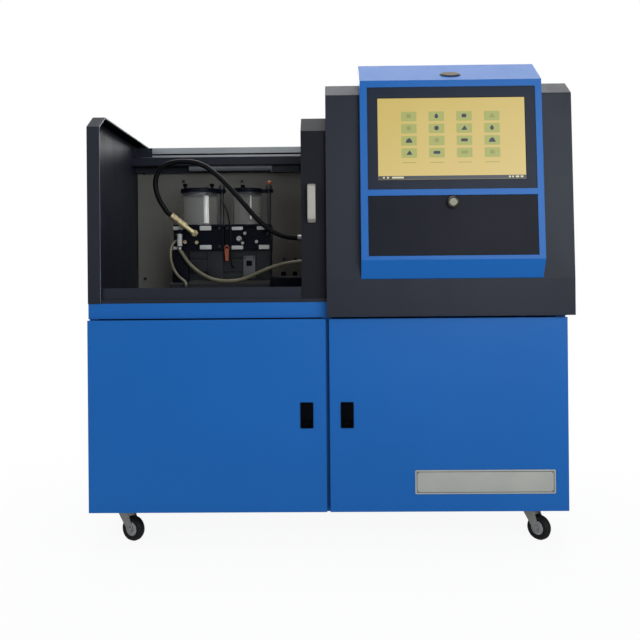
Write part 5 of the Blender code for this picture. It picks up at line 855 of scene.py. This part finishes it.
manifoldFront = .35
tabFinish = makeFinish(
    "whiteTab", (.46, .46, .44), (.34, .34, .32), patch=60, roughness=.45, wear=.2, specular=.3)
tubeFinish = makeFinish(
    "paleTube", (.86, .86, .83), (.74, .73, .68), patch=50, roughness=.35, wear=0, dust=0)
tabs = (  # left, right, low, high and thickness
    (.1893, .223, .9669, .9795, .0016), (.2806, .3197, .9649, .9803, .0016),
    (.3906, .428, .9649, .976, .0016), (.4764, .5031, .9652, .9767, .0016),
    (.28, .3202, .8995, .9144, .0002), (.389, .4285, .8985, .9117, .0002),
    (.4822, .5185, .8987, .913, .0016), (.1887, .207, .9, .9099, .0016))
addPiece("manifoldTabs", "ivory_plastic", addPlate, [
    (*sides, manifoldFront, thick, .0022, thick / 4, 4) for *sides, thick in tabs], tabFinish)
addScrews("manifoldBrassPlugs", onFront(manifoldFront, (.23, .925), (.2703, .9234)))
addScrews("manifoldSteelPlugs", onFront(manifoldFront, (.4275, .9205), (.4748, .9246), (.435, .9535)))
addScrews("manifoldCoupling", onFront(manifoldFront, (.415, .935)), tabFinish)
addScrews("manifoldCapScrews", onFront(
    manifoldFront, (.201, .95), (.348, .972), (.348, .91), (.3745, .972), (.3745, .91), (.513, .952)))
turnedPiece("drainTee", "ivory_plastic", [
    (.0078, 0), (.0092, 0), (.0092, .004), (.0085, .005), (.0085, .036), (.0092, .037), (.0092, .041),
    (.0078, .041)], 24, [(.2145, .333, .9112)], tabFinish)
turnedPiece("capKnobs", "black_plastic", [
    (0, 0), (.0035, 0), (.0035, .006), (.0075, .0075), (.0078, .015), (.0062, .0172), (0, .0176)], 20, [
    (.219, .416, 1.116), (.312, .425, 1.116), (.4236, .402, 1.1083)])
turnedPiece("leftGlassSleeve", "ivory_plastic", [(.00765, 0), (.0086, 0), (.0086, .102), (.00765, .102)], 28,
            [(.2955, .402, .9925)], tubeFinish)
turnedPiece("rightGlassRod", "bright_steel", [(0, 0), (.0022, 0), (.0022, .086), (0, .086)], 16,
            [(.4505, .402, 1.0062)], tubeFinish)
turnedPiece("rightPostCap", "red_grip", [
    (0, 0), (.0072, 0), (.0078, .002), (.0078, .009), (.005, .0125), (0, .013)], 20, [(.515, .4053, 1.1262)])
print("bay fittings made")


# Screws on the sheet metal, hub rings on the wheels

coverLow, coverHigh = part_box("rear_cover")
coverSpots = [(coverLow.x + .012 + (coverHigh.x - coverLow.x - .024) * k / 5, z) for k in range(6)
              for z in (coverLow.z + .01, coverHigh.z - .01)]
coverSpots += [(x, coverLow.z + (coverHigh.z - coverLow.z) * k / 3) for k in (1, 2)
               for x in (coverLow.x + .01, coverHigh.x - .01)]
addScrews("rearCoverScrews", [(Vector((x, coverLow.y + .0015, z)), rearWay) for x, z in coverSpots])
casterSpots = []
for corner in ("front_left", "front_right", "rear_left", "rear_right"):
    low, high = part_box(corner + "_caster_plate")
    casterSpots += [(x, y, high.z - .003) for x in (low.x + .009, high.x - .009)
                    for y in (low.y + .009, high.y - .009)]
addScrews("casterPlateBolts", [(Vector(spot), Vector((0, 0, -1))) for spot in casterSpots])
addScrews("backPanelScrews", onFront(
    .605, (.5533, .8706), (.5956, .8687), (.3973, 1.162), (.1775, 1.1646), (.03, 1.195), (.03, .8),
    (.672, .8)))
hubFinish = makeFinish(
    "casterHub", (.3, .305, .3), (.2, .205, .2), patch=40, roughness=.45, wear=.2, specular=.3)
hubProfile = [(.01, .0118), (.0215, .0094), (.0215, .0108), (.0195, .0126), (.01, .0134)]
for joint in frame["joints"]:
    if joint["name"].endswith("_wheel_spin"):
        hubs = [(hubProfile, Vector(joint["pos_m"]), side * Vector(joint["axis"]), 32) for side in (-1, 1)]
        addPiece(joint["child"] + "_hubs", "bright_steel", addTurned, hubs, hubFinish, joint["child"])
print("screws and wheel hubs set")


# Bay: painted highlight strip on the guard's edge, dark strips of painted shade, rail end, lamp bracket,
# plates on the bed, collars on the hoses

# painted highlight: a pale strip along the inner edge of the guard's front and top flanges, where light
# catches the sheet's edge
edgeHighlightFinish = makeFinish(
    "paintedEdgeHighlight", (.17, .185, .21), (.12, .13, .15), patch=12, mottle=.3, grain=300, wear=.3,
    specular=.4)
# black strips that paint shade: under the guard's top flange, in the gaps above the two doors and in the
# rail's groove
shadeStripFinish = makeFinish(
    "paintedShadeStrip", (.0025, .0025, .003), (.004, .004, .005), mottle=.3, roughness=.75, grain=350,
    depth=.0006, wear=0, specular=.05, dust=0)
highlightPath = ((.0124, .73), (.0124, 1.258), (.0762, 1.2976), (.639, 1.2976))
highlightMesh = bpy.data.meshes.new("guardEdgeHighlight")
highlightMesh.from_pydata([tuple(onCabinet(.0366, y, z)) for y, z in highlightPath], [(0, 1), (1, 2), (2, 3)], [])
highlightSizes = {"stripWidth": .0038, "stripHeight": .0038, "corner": .001}
growPiece("guardEdgeHighlight", stripTree, "grey_paint", highlightSizes, edgeHighlightFinish, smoothAngle=40, start=highlightMesh)
shadeStrips = {
    "guardFlangeShade": [((.0024, .08, 1.2926), (.0356, .638, 1.2978))],
    "doorGapShade": [
        ((.03, .0206, .674), (.7025, .0257, .6815)), ((.7305, .0206, .674), (1.398, .0257, .6815))],
    "railGrooveShade": [((.04, .5925, 1.26), (1.379, .5978, 1.2664))],
}
for name, blocks in shadeStrips.items():
    addPiece(name, "black_rubber", addBlock, blocks, shadeStripFinish)
addPiece("railEnd", "grey_paint", addBlock, [((.003, .5895, 1.2458), (.064, .6125, 1.28835))])
addPiece("lampBracket", "grey_paint", addBlock, [((.5136, .5508, 1.1892), (.616, .5832, 1.2131))])
addPiece("bedPlates", "cast_grey", addPlate, [
    (.303, .357, .795, .893, .372, .005), (.475, .516, .795, .893, .372, .004)])
addPiece("bedBlock", "black_aluminium", addPlate, [(.186, .24, .784, .8935, .372, .026, .003, .0012)])
addPiece("bedSwitchPlate", "panel_paint", addPlate, [(.427, .468, .799, .877, .372, .006, .003, .0012)],
         ownFinishes["oil_tank"])
addPiece("bedSwitch", "black_plastic", addPlate, [(.438, .457, .842, .86, .366, .004, .002, .001)])
addScrews("bedScrews", onFront(.3672, (.309, .801), (.351, .801), (.309, .887), (.351, .887))
          + onFront(.3662, (.4325, .805), (.4625, .805), (.4325, .871), (.4625, .871))
          + onFront(.3462, (.23, .793), (.23, .885)))
collars = (  # place, way, inner and outer radius, length
    ((.618, .305, .934), acrossWay, .008, .0104, .022), ((.2145, .333, .9), upWay, .0058, .0071, .006),
    ((.2035, .349, .93), acrossWay, .0044, .0057, .005), ((.648, .33, .8567), acrossWay, .0058, .0074, .008))
addPiece("hoseCollars", "bright_steel", addTurned, [
    ([(inner, 0), (outer, 0), (outer, length), (inner, length)], onCabinet(*place), way)
    for place, way, inner, outer, length in collars])
print("bay edges and plates made")


# Cabinet: cap, gauge and plug of the tank, terminal box of the motor, nuts of the pump, control box screws

def topPoints(nodeName):
    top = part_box(nodeName)[1].z
    return [vertex.co for vertex in nodes[nodeName].data.vertices if vertex.co.z > top - .001]


tankLow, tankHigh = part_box("oil_tank")
neckTop = topPoints("oil_tank")
neckMiddle = sum(neckTop, Vector()) / len(neckTop)
neck = max((point - neckMiddle).length for point in neckTop)
capProfile = [(0, 0), (neck + .004, 0), (neck + .006, .004), (neck + .006, .018), (neck + .002, .023),
              (neck * .5, .024), (0, .024)]
addPiece("tankCap", "black_plastic", addTurned, [(capProfile, neckMiddle, upWay, 36)])
gauge = Vector((tankHigh.x - .045, tankLow.y, .25))
addPiece("tankGauge", "black_plastic", addSlab, [
    (rounded(.024, .15, .011), gauge, upWay, -.0002, .012, .002)])
addPiece("tankGaugeWindow", "clear_hose", addSlab, [
    (rounded(.01, .098, .0045), gauge, upWay, .0115, .0142, .001)])
addScrews("tankGaugeBolts", [(gauge + frontWay * .012 + upWay * z, frontWay) for z in (-.062, .062)])
addScrews("tankPlug", [(Vector((tankLow.x + .06, tankLow.y, tankLow.z + .03)), frontWay)])
motorLow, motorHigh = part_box("drive_motor")
boxMiddle = Vector((motorLow.x + .145, (motorLow.y + motorHigh.y) / 2, motorHigh.z))
addPiece("motorTerminalBox", "cast_grey", addSlab, [
    (rounded(.086, .072, .006), boxMiddle, rearWay, -.008, .026),
    (rounded(.092, .078, .006), boxMiddle, rearWay, .0262, .034, .002)], ownFinishes["drive_motor"])
addScrews("terminalBoxScrews", [
    (boxMiddle + Vector((a * .038, b * .031, .034)), upWay) for a in (-1, 1) for b in (-1, 1)])
shaftLow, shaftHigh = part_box("shaft_coupling")
shaftMiddle = (shaftLow + shaftHigh) / 2
headTops = topPoints("high_pressure_pump")
headX = sum(point.x for point in headTops) / len(headTops)
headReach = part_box("high_pressure_pump")[1].z - shaftMiddle.z
headSpots = []
for index in range(3):
    angle = 2 * math.pi * index / 3 + math.pi / 2
    out = Vector((0, math.cos(angle), math.sin(angle)))
    headSpots.append((Vector((headX, shaftMiddle.y, shaftMiddle.z)) + out * headReach, out))
addScrews("pumpHeadNuts", headSpots)
boxLow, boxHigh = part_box("control_box")
addScrews("controlBoxScrews", [
    (Vector((x, boxLow.y, z)), frontWay) for x in (boxLow.x + .016, boxHigh.x - .016)
    for z in (boxLow.z + .016, (boxLow.z + boxHigh.z) / 2, boxHigh.z - .016)])
print("cabinet's inner parts dressed")


# Floor, world and lamps

stage = {
    "floorHalf": 7.0, "floorColor": (.86, .86, .86, 1), "cleanShare": .93, "cleanFrom": 1.0, "cleanTo": 2.3,
    "glossShare": .35, "ambient": .31,
}


def backgroundRays(tree):
    rays = addNode(tree, "LightPath").outputs
    return calc(tree, "MAXIMUM", rays["Is Camera Ray"], rays["Is Transmission Ray"]), rays["Is Glossy Ray"]


def buildFloor():
    half = stage["floorHalf"]
    corners = [(half * a, half * b, 0) for a, b in ((-1, -1), (1, -1), (1, 1), (-1, 1))]
    mesh = bpy.data.meshes.new("studioFloor")
    mesh.from_pydata(corners, [], [(0, 1, 2, 3)])
    floor = linkObject("studioFloor", mesh)
    material, tree, shader = newMaterial("studioFloor")
    setInputs(tree, shader, {"Base Color": stage["floorColor"], "Roughness": .9, "Specular IOR Level": .1})
    seen, gloss = backgroundRays(tree)
    strength = calc(tree, "MAXIMUM", seen, calc(tree, "MULTIPLY", gloss, stage["glossShare"]))
    glow = addNode(tree, "Emission", {"Color": (1, 1, 1, 1), "Strength": strength})
    away = addNode(tree, "VectorMath", {0: objectPlace(tree)}, operation="LENGTH").outputs["Value"]
    clean = ranged(tree, away, stage["cleanFrom"], stage["cleanTo"], stage["cleanShare"], 1.0)
    share = calc(tree, "MAXIMUM", calc(tree, "MULTIPLY", seen, clean), gloss)
    mix = addNode(tree, "MixShader", {0: share, 1: shader.outputs[0], 2: glow.outputs[0]})
    tree.links.new(mix.outputs[0], tree.nodes["Material Output"].inputs["Surface"])
    mesh.materials.append(material)


def buildWorld():
    world = bpy.data.worlds.new("studioWorld")
    world.use_nodes = True
    bpy.context.scene.world = world
    sky = world.node_tree
    seen, gloss = backgroundRays(sky)
    strength = calc(sky, "ADD", calc(sky, "MULTIPLY", seen, 1.0 - stage["ambient"]), stage["ambient"])
    setInputs(sky, sky.nodes["Background"], {"Color": (1, 1, 1, 1), "Strength": strength})


def addLamp(name, place, aim, size, power, color=(1, 1, 1)):
    lampData = bpy.data.lights.new(name, "AREA")
    lampData.shape = "RECTANGLE"
    lampData.size, lampData.size_y = size
    lampData.energy = power
    lampData.color = color
    lamp = linkObject(name, lampData)
    lamp.location = place
    lamp.rotation_euler = (Vector(aim) - Vector(place)).to_track_quat("-Z", "Y").to_euler()


buildFloor()
buildWorld()
addLamp("softboxAbove", (.2, .6, 3.3), (0, 0, .9), (3, 3.6), 84)
addLamp("softboxRight", (1.32, -3.4, 1.64), (.28, 0, .9), (2, 1.8), 62, (.88, .95, 1))
addLamp("softboxLeft", (-2.6, -3.2, 1.6), (-.2, 0, .7), (1.6, 1.4), 19, (.92, .97, 1))
addLamp("softboxBack", (-.4, 3.2, 2.6), (0, .2, .8), (2.6, 1.8), 55)
bpy.context.scene.view_settings.view_transform = "Standard"
print("stage and lamps set")
